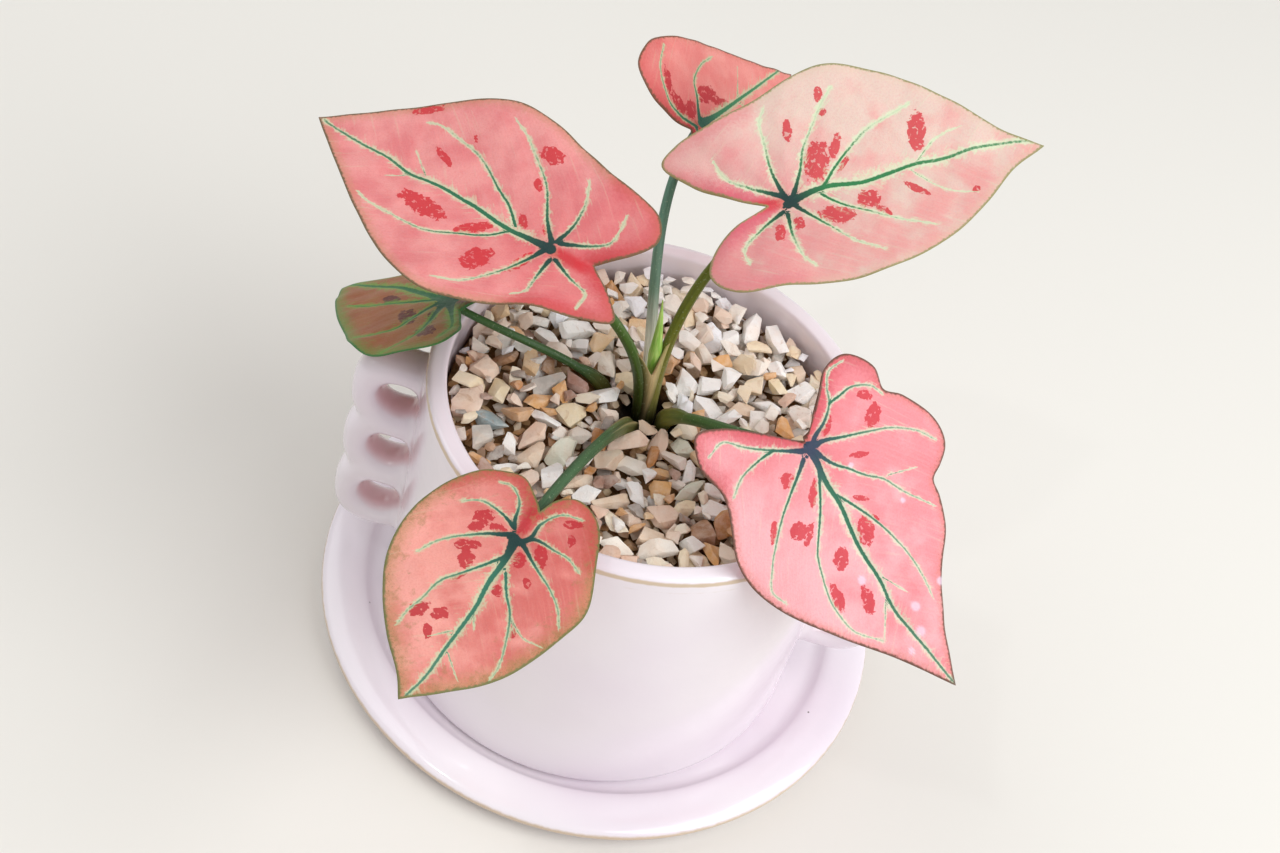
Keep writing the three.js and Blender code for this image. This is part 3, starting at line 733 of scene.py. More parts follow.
def blade_rim(blade, count):
    """The outline in even steps, with its corners at the tip and at the notch kept."""
    outline = blade["outline"]
    notch = blade["notch"]
    halves = [curve_through(outline[:notch + 1], 24),
              curve_through([*outline[notch:], outline[0]], 24)]
    lengths = [np.linalg.norm(np.diff(half, axis=0), axis=1).sum() for half in halves]
    first = round(count * lengths[0] / sum(lengths))
    return np.vstack([even_steps(halves[0], first), even_steps(halves[1], count - first)])


def blade_height(blade, x, y, edge):
    """Height of the blade's middle surface; `edge` is 0 at the petiole and 1 at the margin."""
    length = blade["outline"][0][0]
    fold = math.tan(math.radians(blade["fold"])) * (np.hypot(y, KEEL) - KEEL)
    bend = np.where(x > 0, blade["arch"], blade["lobes"]) * (x / length) ** 2
    height, count, phase = blade["wave"]
    wave = height * edge ** 3 * np.sin(count * np.arctan2(y, x) + phase)
    return fold - bend + wave


def blade_frame(blade):
    """The blade's own frame in the plant's: +X along the midrib, +Z out of its upper face."""
    turn, down, roll = (math.radians(blade[key]) for key in ("turn", "down", "roll"))
    return (Matrix.Translation(blade["joint"]) @ Matrix.Rotation(turn, 4, "Z")
            @ Matrix.Rotation(down, 4, "Y") @ Matrix.Rotation(roll, 4, "X"))


def to_plant(blade, points):
    matrix = np.array(blade_frame(blade))
    return points @ matrix[:3, :3].T + matrix[:3, 3]


def vein_lines(blade):
    """Every vein as short pieces: start, end, half width, fading and the width of its sides."""
    pieces = []
    sorts = [(blade["veins"][:1], MIDRIB), (blade["veins"][1:], SIDE_VEIN), (blade["faint"], FAINT_VEIN)]
    for veins, (base, tip, fading, pale_base, pale_tip) in sorts:
        for vein in veins:
            line = curve_through(vein, 16)
            count = max(4, round(np.linalg.norm(np.diff(line, axis=0), axis=1).sum() / VEIN_STEP))
            line = np.vstack([even_steps(line, count), line[-1:]])
            share = np.linspace(0, 1, count + 1)
            width = base + (tip - base) * share ** 0.7
            width += HUB_SWELL * np.exp(-np.linalg.norm(line, axis=1) / HUB_REACH)
            pale = pale_base + (pale_tip - pale_base) * share
            pieces.append(np.column_stack([line[:-1], line[1:], width[:-1], fading * share[:-1],
                                           pale[:-1]]))
    return np.vstack(pieces)


def in_batches(x, y, start, run):
    """How each point lies to every piece of a line: its offset from the start, and its distance."""
    for first in range(0, len(x), BATCH):
        spot = np.stack([x[first:first + BATCH], y[first:first + BATCH]], axis=1)[:, None]
        from_start = spot - start
        share = np.clip((from_start * run).sum(-1) / (run ** 2).sum(-1), 0, 1)
        yield from_start, np.linalg.norm(from_start - share[..., None] * run, axis=-1)


def vein_map(blade, x, y):
    """At each point: signed and plain distance to its vein, then that vein's own numbers."""
    pieces = vein_lines(blade)
    start = pieces[:, 0:2]
    run = pieces[:, 2:4] - start
    found = []
    for from_start, away in in_batches(x, y, start, run):
        best = np.argmin(away - pieces[:, 4], axis=1)
        row = np.arange(len(best))
        cross = run[best, 0] * from_start[row, best, 1] - run[best, 1] * from_start[row, best, 0]
        distance = away[row, best]
        found.append(np.column_stack([np.copysign(distance, cross), distance, pieces[best, 4:]]))
    return np.vstack(found).T


def patch_map(blade, x, y):
    """How deep each point lies in a red patch: 1 in its middle, 0 on its edge, then below 0."""
    depth = np.full(len(x), -1.0)
    for patch_x, patch_y, length, width, angle in blade["patches"]:
        turn = math.radians(angle)
        along = (x - patch_x) * math.cos(turn) + (y - patch_y) * math.sin(turn)
        across = (y - patch_y) * math.cos(turn) - (x - patch_x) * math.sin(turn)
        ellipse = np.hypot(along / (length + 0.3), across / (width + 0.3))
        depth = np.maximum(depth, 1 - ellipse)
    return depth


def margin_map(rim, x, y):
    """Distance from each point to the blade's margin."""
    run = np.roll(rim, -1, axis=0) - rim
    return np.concatenate([away.min(axis=1) for _, away in in_batches(x, y, rim, run)])


def blade_face(blade, rim, rings, side):
    """One face of a blade: its flat places and its true points, from the petiole outwards."""
    edges = (np.arange(1, rings + 1) / rings) ** 0.9
    flat = np.vstack([np.zeros((1, 2)), (edges[:, None, None] * rim).reshape(-1, 2)])
    edge = np.concatenate([[0], np.repeat(edges, len(rim))])
    x, y = flat.T
    veins = vein_map(blade, x, y)
    _, away, width, _, _ = veins
    thick = BLADE_THICKNESS / 2 * (1 - MARGIN_THINNING * edge ** 10)
    fade = 1 - edge ** 12
    pucker = PUCKER * (1 - np.exp(-(away / PUCKER_REACH) ** 2)) * fade
    spots = np.stack([x, y, 0 * x], axis=1)
    for (size, seed, rise), share in zip(BUMPS, (edge, fade)):
        pucker += rise * unevenness(spots, size, seed) * share
    valley = np.exp(-(away / (0.5 + width)) ** 2) * np.minimum(width / 0.5, 1.4) * fade
    if side > 0:
        height = blade_height(blade, x, y, edge) + pucker + thick - GROOVE * valley
    else:
        height = blade_height(blade, x, y, edge) + pucker - thick - RIB * valley
    return np.column_stack([x, y, height]), veins


def blade_piece(name, blade, count, rings, rings_below):
    rim = blade_rim(blade, count)
    upper, upper_veins = blade_face(blade, rim, rings, 1)
    lower, lower_veins = blade_face(blade, rim, rings_below, -1)
    middle = (upper[-count:] + lower[-count:]) / 2
    ahead = np.roll(rim, -1, axis=0) - np.roll(rim, 1, axis=0)
    outwards = np.column_stack([ahead[:, 1], -ahead[:, 0]])
    outwards /= np.linalg.norm(outwards, axis=1)[:, None]
    middle[:, :2] += MARGIN_BULGE * outwards
    local = np.vstack([upper, middle, lower])
    below = len(upper) + count
    faces = fan_faces(0, 1, count) + ring_faces(rings + 1, count, 1)
    faces += fan_faces(below, below + 1, count) + ring_faces(rings_below, count, below + 1)
    faces += strip_faces(len(upper), len(local) - count, count)
    piece = make_piece("blade_of_" + name + "_leaf", to_plant(blade, local), faces)
    middle_veins = vein_map(blade, middle[:, 0], middle[:, 1])
    veins = np.hstack([upper_veins, middle_veins, lower_veins])
    for key, values in zip(("vein_side", "vein_away", "vein_width", "vein_fading", "vein_pale"), veins):
        mark(piece, key, values)
    x, y = local[:, 0], local[:, 1]
    mark(piece, "leaf_place", np.column_stack([x, y, 0 * x]))
    flow = x - FLOW_SLANT * abs(y) - FLOW_BEND * y ** 2
    mark(piece, "vein_flow", np.column_stack([flow, FLOW_STRETCH * abs(y), 0 * x]))
    mark(piece, "patch", patch_map(blade, x, y))
    mark(piece, "margin", margin_map(rim, x, y))
    dots = [1 - np.hypot(x - dot_x, y - dot_y) / size for dot_x, dot_y, size in blade.get("dots", [])]
    mark(piece, "dot", np.max([*dots, 0 * x], axis=0))
    return piece


def blade_skin(name, flesh, pale, border, edge, core, halo, patch, throat, hub="#1c3836", lean=0.0,
               broad=1.0, side_width=1.0, border_width=3.0, border_depth=0.7, core_end=0.7,
               freckle="#7a5a3c", freckles=0.0, stain="#a8824e", stains=0.0):
    """Leaf flesh with its veins, their pale sides, the red patches, the margin and fine streaks."""
    new_material(name)
    place = stored("leaf_place", "Vector")
    flow = stored("vein_flow", "Vector")
    margin = stored("margin")
    along = one_axis(place, "X")
    across = one_axis(place, "Y")
    from_hub = read_node("VectorMath", {0: place}, "Value", operation="LENGTH")
    broken = grain(place, 1.1, 4, 0.6) - 0.5
    ragged = margin + broken * 5
    clouds = grain(place, 0.09, 3) + across * lean
    streaks = grain(flow, 0.55, 3, 0.6, 0.3)
    mottle = grain(place, 1.7, 3, 0.65)

    lobe_rim = ease(along, 1, -5) * ease(ragged, 0.5, 6, 0.85, 0) * ease(from_hub, 14, 34, 1, 0.35)
    beside = calc("ABSOLUTE", across) + broken
    sinus = ease(along, 2, -1) * ease(beside, 0.6, 3.2, 0.9, 0) * ease(from_hub, 9, 15, 1, 0)
    blotch = grain(place, 0.3, 4, 0.7) - margin * 0.02
    dotted = grain(place, 2.2, 4, 0.7) - margin * 0.035

    spatter = grain(place, 0.5, 3, 0.6, 0.5) - 0.45
    pinholes = ease(grain(place, 0.7, 2, 0.5, 0.6), 0.6, 0.63, 1, 0.3)
    patch_amount = ease(stored("patch") + spatter * 1.5, 0, 0.08, 0, 0.92) * pinholes

    away = calc("MAXIMUM", calc("ABSOLUTE", stored("vein_side")), stored("vein_away") - 0.35)
    past = away - stored("vein_width") * broad
    swelling = ease(grain(place, 0.4, 3, 0.6), 0.34, 0.66, 0.35 * side_width, 2.1 * side_width)
    reaches = past / (stored("vein_pale") * swelling)
    fringe = grain(place, 1.5, 3, 0.6, 0.4) - 0.5
    halo_amount = ease(reaches + fringe * 2.4, 0, 1.4, 0.78, 0) * ease(from_hub, 2, 9, 0.2, 1)
    spurs = ease(grain(flow, 1.5, 1), 0.57, 0.64, 0, 0.4) * ease(reaches, 0.8, 3.2, 1, 0)
    faded = stored("vein_fading")
    core_width = ease(past + broken * 0.6, -0.18, 0.14, 1, 0)
    core_amount = core_width * ease(faded + broken * 1.3, core_end, core_end + 0.45, 1, 0.2)
    green = layers(hub, (ease(from_hub, 1, 14), core), (ease(faded, 0.15, 0.9, 0, 0.4), halo))

    base = layers(
        flesh,
        (ease(clouds, 0.32, 0.66), pale),
        (ease(streaks, 0.42, 0.68, 0, 0.2), pale),
        (ease(mottle, 0.4, 0.72, 0, 0.16), throat),
        (ease(from_hub, 4, 26, 0.35, 0), throat),
        (ease(ragged, -1, border_width, border_depth, 0), border),
        (ease(along, 1, -16, 0, 0.3), throat),
        (lobe_rim, throat),
        (sinus, patch),
        (ease(blotch, 0.42, 0.62, 0, stains), stain),
        (ease(dotted, 0.5, 0.58, 0, freckles), freckle),
        (ease(streaks, 0.6, 0.7, 0, 0.12), halo),
        (patch_amount, patch),
        (halo_amount, halo),
        (spurs * ease(from_hub, 6, 14), halo),
        (core_amount, green),
        (ease(margin + broken * 1.5, 0.15, 0.75, 0.9, 0), edge),
        (ease(stored("dot"), 0, 0.5, 0, 0.6), DOT_COLOUR))
    return finish(base, ease(mottle, 0.3, 0.7, 0.45, 0.6), streaks * 1.5 + grain(place, 2.6, 3, 0.6),
                  0.08, Specular_IOR_Level=0.28, Subsurface_Weight=0.06, Subsurface_Scale=0.002)


BLADE_FINISHES = {
    "left": ("pink_leaf", 380, 52, 12, dict(
        flesh="#da7a7b", pale="#e79793", border="#bb8662", edge="#655a3c", core="#2a6a49",
        halo="#c6d6b0", patch="#c82c34", throat="#c63a45", freckles=0.12, border_width=4.0,
        core_end=0.38)),
    "right": ("pale_pink_leaf", 380, 52, 12, dict(
        flesh="#e5a19b", pale="#e0c4b6", border="#d2bda0", edge="#8b8a58", core="#2f7a48",
        halo="#d0e2bc", patch="#cc3a42", throat="#d2566a", border_width=3.5,
        border_depth=0.45, side_width=1.45, lean=0.006, core_end=0.28)),
    "front_right": ("pink_leaf", 400, 56, 12, dict(
        flesh="#ee8e94", pale="#f5adb1", border="#d5786a", edge="#5f4a3a", core="#2b6a4e",
        halo="#d2dfc0", patch="#cd3540", throat="#cf4a58", hub="#2c3850", freckles=0.35,
        freckle="#8a4a34", lean=-0.006)),
    "front_left": ("tinted_leaf", 340, 48, 12, dict(
        flesh="#cf7068", pale="#e89e92", border="#b5875a", edge="#66703f", core="#35705a",
        halo="#bdd0a8", patch="#b82c34", throat="#bc3f42", freckles=0.6, freckle="#7d6a3c",
        stains=0.6, stain="#a07a50", border_width=6.0, lean=-0.008)),
    "rear": ("pink_leaf", 260, 34, 10, dict(
        flesh="#de7b76", pale="#e6958c", border="#c97260", edge="#664c34", core="#3a7a52",
        halo="#b5caa0", patch="#b3242e", throat="#c64a4c", hub="#2a5a48")),
    "far_left": ("rust_leaf", 260, 34, 10, dict(
        flesh="#955030", pale="#9f6440", border="#55903c", edge="#31703a", core="#22683a",
        halo="#66a040", patch="#571f1f", throat="#767a34", hub="#1a4c32", broad=1.8, side_width=2.6,
        border_width=5.5, stains=0.5, stain="#6c8c3c")),
}

for leaf_name, (slot_name, rim_steps, rings, rings_below, colours) in BLADE_FINISHES.items():
    blade_object = blade_piece(leaf_name, BLADES[leaf_name], rim_steps, rings, rings_below)
    blade_object.data.materials.append(blade_skin("skin_of_" + leaf_name + "_leaf", **colours))
    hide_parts("blade_" + leaf_name)

# ---- petioles
# The leaf stalks: firm round stems that widen at the foot into open sheaths with thin tan
# margins, one clasping the next round the crown. Dark green, streaked lengthwise.

PETIOLE_SIDES = 28
PETIOLE_STEPS = 110
PETIOLE_RIBS = (7, 0.02)  # how many shallow ribs run up a stalk, and how high
HEAD_FLARE = 1.15  # a stalk widens this much just under its blade
LIP_WIDTH = 0.34  # of a sheath's two lips, as an angle round the stalk
LIP_HEIGHT = 0.9
SHEATH_GROOVE = 0.35
MARGIN_WIDTH = 0.16
STREAK_STRETCH = 0.05
SEAT_RADIUS = 12  # round the joint a stalk stays under its blade
SEAT_GAP = 0.1
SHEATH_MARGIN_COLOUR = "#b9a374"
DUSTING_COLOUR = "#b9c4a4"
SOILED_AND_SHADED_HEIGHTS = (96, 104)  # dark below with soil and painted shade, clean above
PETIOLES = {  # the stops are where the foot, stem and head colours stand
    "left": {
        "path": [(-5, -3, 91), (-5.9, -0.5, 119.5), (-16, -19, 146)], "radii": (1.8, 1.55, 1.4),
        "opening": (1, -0.5, 0.3), "sheath": 0.46, "flare": 0.2, "lips": 0.85, "margin": 0,
        "foot": "#424a1e", "stem": "#425f22", "head": "#48662c", "stops": (0.1, 0.45, 0.9),
    },
    "right": {
        "path": [(-1.3, -3, 91), (-4.4, 1.5, 123.5), (-2.5, 12.5, 144)], "radii": (1.9, 1.65, 1.5),
        "opening": (-1, -0.5, 0.3), "sheath": 0.4, "flare": 0.2, "lips": 0.85, "margin": 0,
        "foot": "#8a8748", "stem": "#68701f", "head": "#5a6a24", "stops": (0.1, 0.45, 0.9),
    },
    "front_right": {
        "path": [(3.2, -6.8, 91), (-0.5, -5.5, 112), (17, -28.5, 123.5)], "radii": (2.1, 1.7, 1.45),
        "opening": (-0.27, 0.55, 0.82), "sheath": 0.42, "flare": 1.15, "lips": 0.22, "margin": 1,
        "foot": "#82863f", "stem": "#4a6a32", "head": "#42643a", "stops": (0.28, 0.46, 0.9),
    },
    "front_left": {
        "path": [(-5, -8, 91), (-8, -19.5, 118.5), (-20.4, -47, 114)], "radii": (2.3, 1.7, 1.4),
        "opening": (0.1, 0.2, 1), "sheath": 0.5, "flare": 0.85, "lips": 0.4, "margin": 1,
        "foot": "#70743f", "stem": "#48663e", "head": "#466648", "stops": (0.22, 0.42, 0.9),
    },
    "rear": {
        "path": [(-3.6, 2.8, 91), (-6, 11, 121), (-20, 39, 139)], "radii": (1.9, 1.6, 1.35),
        "opening": (0.3, -1, 0.3), "sheath": 0.3, "flare": 0.3, "lips": 0.85, "margin": 1,
        "foot": "#dfe0cc", "stem": "#6f9078", "head": "#56806a", "stops": (0.26, 0.42, 0.7),
    },
    "far_left": {
        "path": [(-17, -0.4, 92.5), (-12.5, 4.5, 104.5), (-42.4, -6.4, 115.1)], "radii": (2.1, 1.3, 1.1),
        "opening": (0.9, 0.6, 0.5), "sheath": 0.4, "flare": 1.3, "lips": 0.35, "margin": 0.4,
        "foot": "#6a682c", "stem": "#3b5a2e", "head": "#456a3c", "stops": (0.2, 0.36, 0.9),
    },
}


def bezier(controls, t):
    """Points on a cubic Bezier curve."""
    a, b, c, d = (np.array(point, dtype=float) for point in controls)
    t = np.asarray(t)[:, None]
    return a * (1 - t) ** 3 + 3 * b * t * (1 - t) ** 2 + 3 * c * t ** 2 * (1 - t) + d * t ** 3


def petiole_line(name, t):
    """The middle of a petiole, from its foot to its blade."""
    return bezier([*PETIOLES[name]["path"], BLADES[name]["joint"]], t)


def stem_points(line, opening, angle, out):
    """Rings of points round a line, from the side that opens, and then the line's two ends."""
    ahead = np.gradient(line, axis=0)
    ahead /= np.linalg.norm(ahead, axis=1)[:, None]
    opening = np.array(opening, dtype=float)
    front = opening - (ahead @ opening)[:, None] * ahead
    front /= np.linalg.norm(front, axis=1)[:, None]
    across = np.cross(ahead, front)
    ring = front[:, None] * np.cos(angle)[:, None] + across[:, None] * np.sin(angle)[:, None]
    points = (line[:, None] + ring * out[..., None]).reshape(-1, 3)
    return np.vstack([points, line[:1], line[-1:]])


def stem_faces(rings, sides):
    """Faces of a closed stem whose two end points follow its rings of points."""
    faces = ring_faces(rings, sides)
    faces += fan_faces(rings * sides, 0, sides)
    faces += fan_faces(rings * sides + 1, (rings - 1) * sides, sides)
    return faces


def with_ends(values):
    """What is marked on a stem's rings of points, repeated for its two ends."""
    return np.concatenate([values, values[:1], values[-1:]])


def streak_places(angle, radius, lengthwise):
    """Where each point of a stem lies in a long straight one, whose streaks run its whole length."""
    places = np.broadcast_arrays(np.cos(angle) * radius, np.sin(angle) * radius, lengthwise)
    return with_ends(np.stack(places, axis=-1).reshape(-1, 3))


def shades_along(share, stops, written):
    """Colours that run from each written one to the next."""
    shades = np.array([colour(text)[:3] for text in written])
    return np.stack([np.interp(share, stops, shades[:, k]) for k in range(3)], axis=1)


def petiole_piece(name):
    petiole = PETIOLES[name]
    t = np.linspace(0, 1, PETIOLE_STEPS)
    line = petiole_line(name, t)
    base, middle, top = petiole["radii"]
    radius = np.interp(t, (0, 0.4, 0.96, 1), (base, middle, top, top * HEAD_FLARE))[:, None]
    angle = full_turn(PETIOLE_SIDES)
    turned = (angle + math.pi) % (2 * math.pi) - math.pi
    from_lip = abs(turned) - petiole["lips"]
    open_share = np.clip(1 - (t / petiole["sheath"]) ** 3.5, 0, 1)[:, None]
    lips = LIP_HEIGHT * np.exp(-(from_lip / LIP_WIDTH) ** 2)
    groove = SHEATH_GROOVE * np.exp(-(turned / (0.5 * petiole["lips"])) ** 2)
    rib_count, rib_height = PETIOLE_RIBS
    ribs = rib_height * np.sin(rib_count * angle + 2)
    shape = 1 + open_share * petiole["flare"] * (lips - groove) + ribs
    points = stem_points(line, petiole["opening"], angle, radius * shape)
    piece = make_piece("petiole_of_" + name + "_leaf", under_blade(BLADES[name], points),
                       stem_faces(PETIOLE_STEPS, PETIOLE_SIDES))
    length = np.linalg.norm(np.diff(line, axis=0), axis=1).sum()
    mark(piece, "streak_place", streak_places(angle, radius, t[:, None] * length * STREAK_STRETCH))
    shade = shades_along(t, petiole["stops"], [petiole[key] for key in ("foot", "stem", "head")])
    # painted shade and soil: the stalks darken low down at the crown
    shade *= np.interp(line[:, 2], SOILED_AND_SHADED_HEIGHTS, (0.2, 1))[:, None]
    mark(piece, "stem_colour", with_ends(np.repeat(shade, PETIOLE_SIDES, axis=0)))
    margin = open_share * np.exp(-(from_lip / MARGIN_WIDTH) ** 2) * petiole["margin"]
    mark(piece, "sheath_margin", with_ends(margin.ravel()))
    return piece


def under_blade(blade, points):
    """Presses the top of a stem flat against its blade's underside."""
    matrix = np.array(blade_frame(blade))
    local = (points - matrix[:3, 3]) @ matrix[:3, :3]
    x, y, z = local.T
    ceiling = blade_height(blade, x, y, 0) - SEAT_GAP
    local[:, 2] = np.where(np.hypot(x, y) < SEAT_RADIUS, np.minimum(z, ceiling), z)
    return local @ matrix[:3, :3].T + matrix[:3, 3]


new_material("petiole_skin")
streak = grain(stored("streak_place", "Vector"), 1.6, 4, 0.6)
stem_base = layers(
    "#000000",
    (ease(streak, 0.3, 0.72, 0.75, 1.2), stored("stem_colour", "Vector")),
    (ease(stored("sheath_margin"), 0.3, 0.9, 0, 0.7), SHEATH_MARGIN_COLOUR),
    (ease(grain(object_place(), 1500), 0.62, 0.72, 0, 0.3), DUSTING_COLOUR))
petiole_skin = finish(stem_base, ease(streak, 0.3, 0.7, 0.3, 0.45), streak, 0.15, Specular_IOR_Level=0.3)
for leaf_name in PETIOLES:
    stem = petiole_piece(leaf_name)
    stem.data.materials.append(petiole_skin)
    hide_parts("petiole_" + leaf_name)

# ---- clasping sheaths
# The feet of the left and right petioles spread into one thin wrapped sheath, olive and tan,
# that opens in a V. It is the petioles' own skin, grown out sideways.

SHEATH_THICKNESS = 0.8
SHEATH_BULGE = 1.1  # it stands out this much more in its middle
SHEATH_FORWARD = 0.9  # than at the petioles
SHEATH_ROUNDNESS = 0.7
SHEATH_NOTCH = (0.5, 0.305)  # the V's bottom: its share across, and up the left petiole
SHEATH_TIPS = (0.485, 0.53)  # how far up its left and right tips lie
SHEATH_RISE = 1.6  # above 1, its edges turn up sharply beside the petioles
RIGHT_SHARE = 0.74  # the right petiole is longer, so it is less far up its own
SHEATH_ACROSS = 26
SHEATH_UP = 60
SHEATH_COLOURS = ("#41461c", "#bda677", "#9d9959")  # from the left petiole to the right one
SHEATH_STOPS = (0.12, 0.55, 0.95)
SHEATH_EDGE = 14  # the higher, the narrower its tan edge
SHEATH_STREAKS = (1, 1, 0.08)
SHEATH_LIGHT_AND_SHADE = ((0, 0.3, 0.4, 0.68, 1), (0.12, 0.3, 0.55, 1.05, 1.35))  # painted shade, darker near the soil, and painted light, lighter near the top

across_share = np.linspace(0, 1, SHEATH_ACROSS)
notch_across, notch_up = SHEATH_NOTCH
left_rise = np.clip(1 - across_share / notch_across, 0, 1) ** SHEATH_RISE
right_rise = np.clip((across_share - notch_across) / (1 - notch_across), 0, 1) ** SHEATH_RISE
tops = notch_up + (SHEATH_TIPS[0] - notch_up) * left_rise + (SHEATH_TIPS[1] - notch_up) * right_rise
up_share = np.linspace(0, 1, SHEATH_UP)[:, None] * tops
left_line = petiole_line("left", up_share.ravel()).reshape(*up_share.shape, 3)
right_line = petiole_line("right", RIGHT_SHARE * up_share.ravel()).reshape(*up_share.shape, 3)
web = left_line + (right_line - left_line) * across_share[:, None]
outwards = np.cross(right_line - left_line, np.gradient(web, axis=0))
outwards /= np.linalg.norm(outwards, axis=-1, keepdims=True)
swell = SHEATH_FORWARD + SHEATH_BULGE * np.sin(math.pi * across_share) ** SHEATH_ROUNDNESS
front_skin = web + outwards * swell[:, None]
back_skin = front_skin - outwards * SHEATH_THICKNESS
loops = np.concatenate([front_skin, back_skin[:, ::-1]], axis=1)
sheath_sides = 2 * SHEATH_ACROSS
sheath_faces = ring_faces(SHEATH_UP, sheath_sides)
for first in (0, (SHEATH_UP - 1) * sheath_sides):
    last = first + sheath_sides - 1
    for i in range(SHEATH_ACROSS - 1):
        sheath_faces.append([first + i, first + i + 1, last - i - 1, last - i])
sheath = make_piece("clasping_sheath", loops.reshape(-1, 3), sheath_faces)
ramp = shades_along(across_share, SHEATH_STOPS, SHEATH_COLOURS)
ramp = np.tile(np.vstack([ramp, ramp[::-1]]), (SHEATH_UP, 1, 1))
# painted light and shade up the sheath
ramp *= np.interp(np.linspace(0, 1, SHEATH_UP), *SHEATH_LIGHT_AND_SHADE)[:, None, None]
mark(sheath, "stem_colour", ramp.reshape(-1, 3))
mark(sheath, "sheath_margin", np.repeat(np.linspace(0, 1, SHEATH_UP) ** SHEATH_EDGE, sheath_sides))
mark(sheath, "streak_place", loops.reshape(-1, 3) * SHEATH_STREAKS)
sheath.data.materials.append(petiole_skin)

# ---- rolled leaf
# A young leaf still rolled up tight on itself, bright green, pushing out between the sheaths
# of the left and right leaves.

ROLLED_PATH = [(-1.5, 0.1, 91), (-5, 1.2, 105), (-4.9, 2.4, 122), (-7.3, 1.7, 139.2)]
ROLLED_RADII = ((0, 0.35, 0.58, 0.8, 1), (0.9, 1.3, 1.9, 0.95, 0.12))
ROLLED_SIDES = 36
ROLLED_STEPS = 90
ROLLED_OVERLAP = 0.3
ROLLED_TWIST = 2.2
YOUNG_COLOUR = "#8fc74e"
YOUNG_STREAK_COLOUR = "#c4e584"
SEAM_COLOUR = "#4f8a2c"

t = np.linspace(0, 1, ROLLED_STEPS)
angle = full_turn(ROLLED_SIDES)
seam = (angle - ROLLED_TWIST * t[:, None]) % (2 * math.pi)
out = np.interp(t, *ROLLED_RADII)[:, None] * (1 + ROLLED_OVERLAP * (seam / (2 * math.pi) - 0.5))
points = stem_points(bezier(ROLLED_PATH, t), (1, -1, 0), angle, out)
rolled_leaf = make_piece("young_rolled_leaf", points, stem_faces(ROLLED_STEPS, ROLLED_SIDES))
mark(rolled_leaf, "seam", with_ends(np.minimum(seam, 2 * math.pi - seam).ravel()))
mark(rolled_leaf, "streak_place", streak_places(angle, 1, 3 * t[:, None]))
new_material("young_leaf_skin")
young_streak = grain(stored("streak_place", "Vector"), 2.4, 3)
young_base = layers(
    YOUNG_COLOUR,
    (ease(young_streak, 0.35, 0.7), YOUNG_STREAK_COLOUR),
    (ease(stored("seam"), 0.1, 0.45, 0.7, 0), SEAM_COLOUR))
young_skin = finish(young_base, 0.38, young_streak, 0.08, Subsurface_Weight=0.15, Subsurface_Scale=0.002)
rolled_leaf.data.materials.append(young_skin)
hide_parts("rolled_leaf")

# ---- gravel
# Crushed stone spread loose over the soil: angular cream, white, tan and peach chips, with a
# few grey and brown ones. Each stone falls where it lies lowest among those before it.

GRAVEL_FLOOR = 98.3
GRAVEL_CELL = 0.4
GRAVEL_REACH = 58.5
BARE_SPOTS = [(-3, -3.5, 3.6), (-9.5, -6.5, 2), (-12, -8, 1.5), (0.3, 2.6, 1.4), (5.6, -8.8, 1.2),
              (-3.6, -9.8, 1.4)]  # x, y and radius of the bare soil round the crown
STEM_CLEARANCE = 1.7
STEM_HEIGHTS = (96, 105)  # no stone goes into a stem between these
BED_STONES = [(760, 1.6, 2.5)]  # count, and the smallest and largest half length
TOP_STONES = [(330, 2.8, 4.6), (170, 2.1, 3.1), (100, 1.5, 2.2)]
STONE_SEED = 2025
BALL_CUTS = 5
STONE_TRIALS = 26  # places that a strewn stone tries
STONE_SINK = 0.3
HIGHEST_REST = 105.5
LARGEST_REACH = 1.5  # no corner stands further out than this
FACET_SHARE = 0.92  # a facet's flat part, inside its worn arrises
CREVICE_SHADE_HEIGHTS = (98.5, 102)  # painted shade: the stones are darker brown low down between each other, and plain on top
STONE_WIDTHS = (0.52, 0.9)  # a strewn stone's width and height, as shares of its length
STONE_HEIGHTS = (0.26, 0.58)
FACET_DEPTHS = (0.62, 1)  # its six sides lie this share of its half sizes out
CHIP_DEPTHS = (0.6, 1.1)  # and so do the chips knocked off it
CHIPS = 5
FACET_TILT = 0.36
STREWN_TILT = 0.33
PLACED_TILT = 0.15
PLACED_NEAR = (0, 0.8, 1.6, 2.4)  # a placed stone without room tries this much further off
KEPT_IN_SIGHT = 0.7  # no later stone lies on this middle part of a placed one
COVERED_SHARE = 0.03  # a stone seen less than this is left out
FULLY_CUT_SHARE = 0.3  # and one seen more than this gets finer facets
STONE_UNEVENNESS = 0.035
STONE_ARRIS = math.radians(24)  # facets that meet more sharply than this show an edge
STONE_PILES = [  # a stone goes to the last of these whose limit it is under
    (math.inf, "gravel_white", ["#fffefb", "#fbf7f0", "#f9fbff", "#fbf4e8"]),
    (0.6, "gravel_cream", ["#faeed6", "#f6e2bf", "#f8ece0", "#f2d9c4"]),
    (0.27, "gravel_warm", ["#edc795", "#e5ab66", "#e6bfa6", "#dba873"]),
    (0.07, "gravel_dark", ["#a87a52", "#c4823c", "#ab8472", "#9c9088"]),
]
PALER_TO_RIGHT = 0.003  # more of the stones are white towards the right
PALER_TO_BACK = 0.006  # and towards the back
CHALK_COLOUR = "#fffaf0"
BLUSH_COLOUR = "#f2c39a"
STAIN_COLOUR = "#bd8850"
CREVICE_SHADE_COLOUR = "#b8935f"
GRIT_COLOUR = "#6d5a48"
STONE_SHADES = {
    "white": "#fffefb", "cream": "#fbf3e6", "straw": "#f9e7c0", "peach": "#f2d4bd", "tan": "#ecd2b6",
    "ochre": "#e8b474", "grey": "#c6c0b8", "slate": "#98adb2", "umber": "#a16d42", "rose": "#b98b7c",
    "celadon": "#e6e8d4",
}
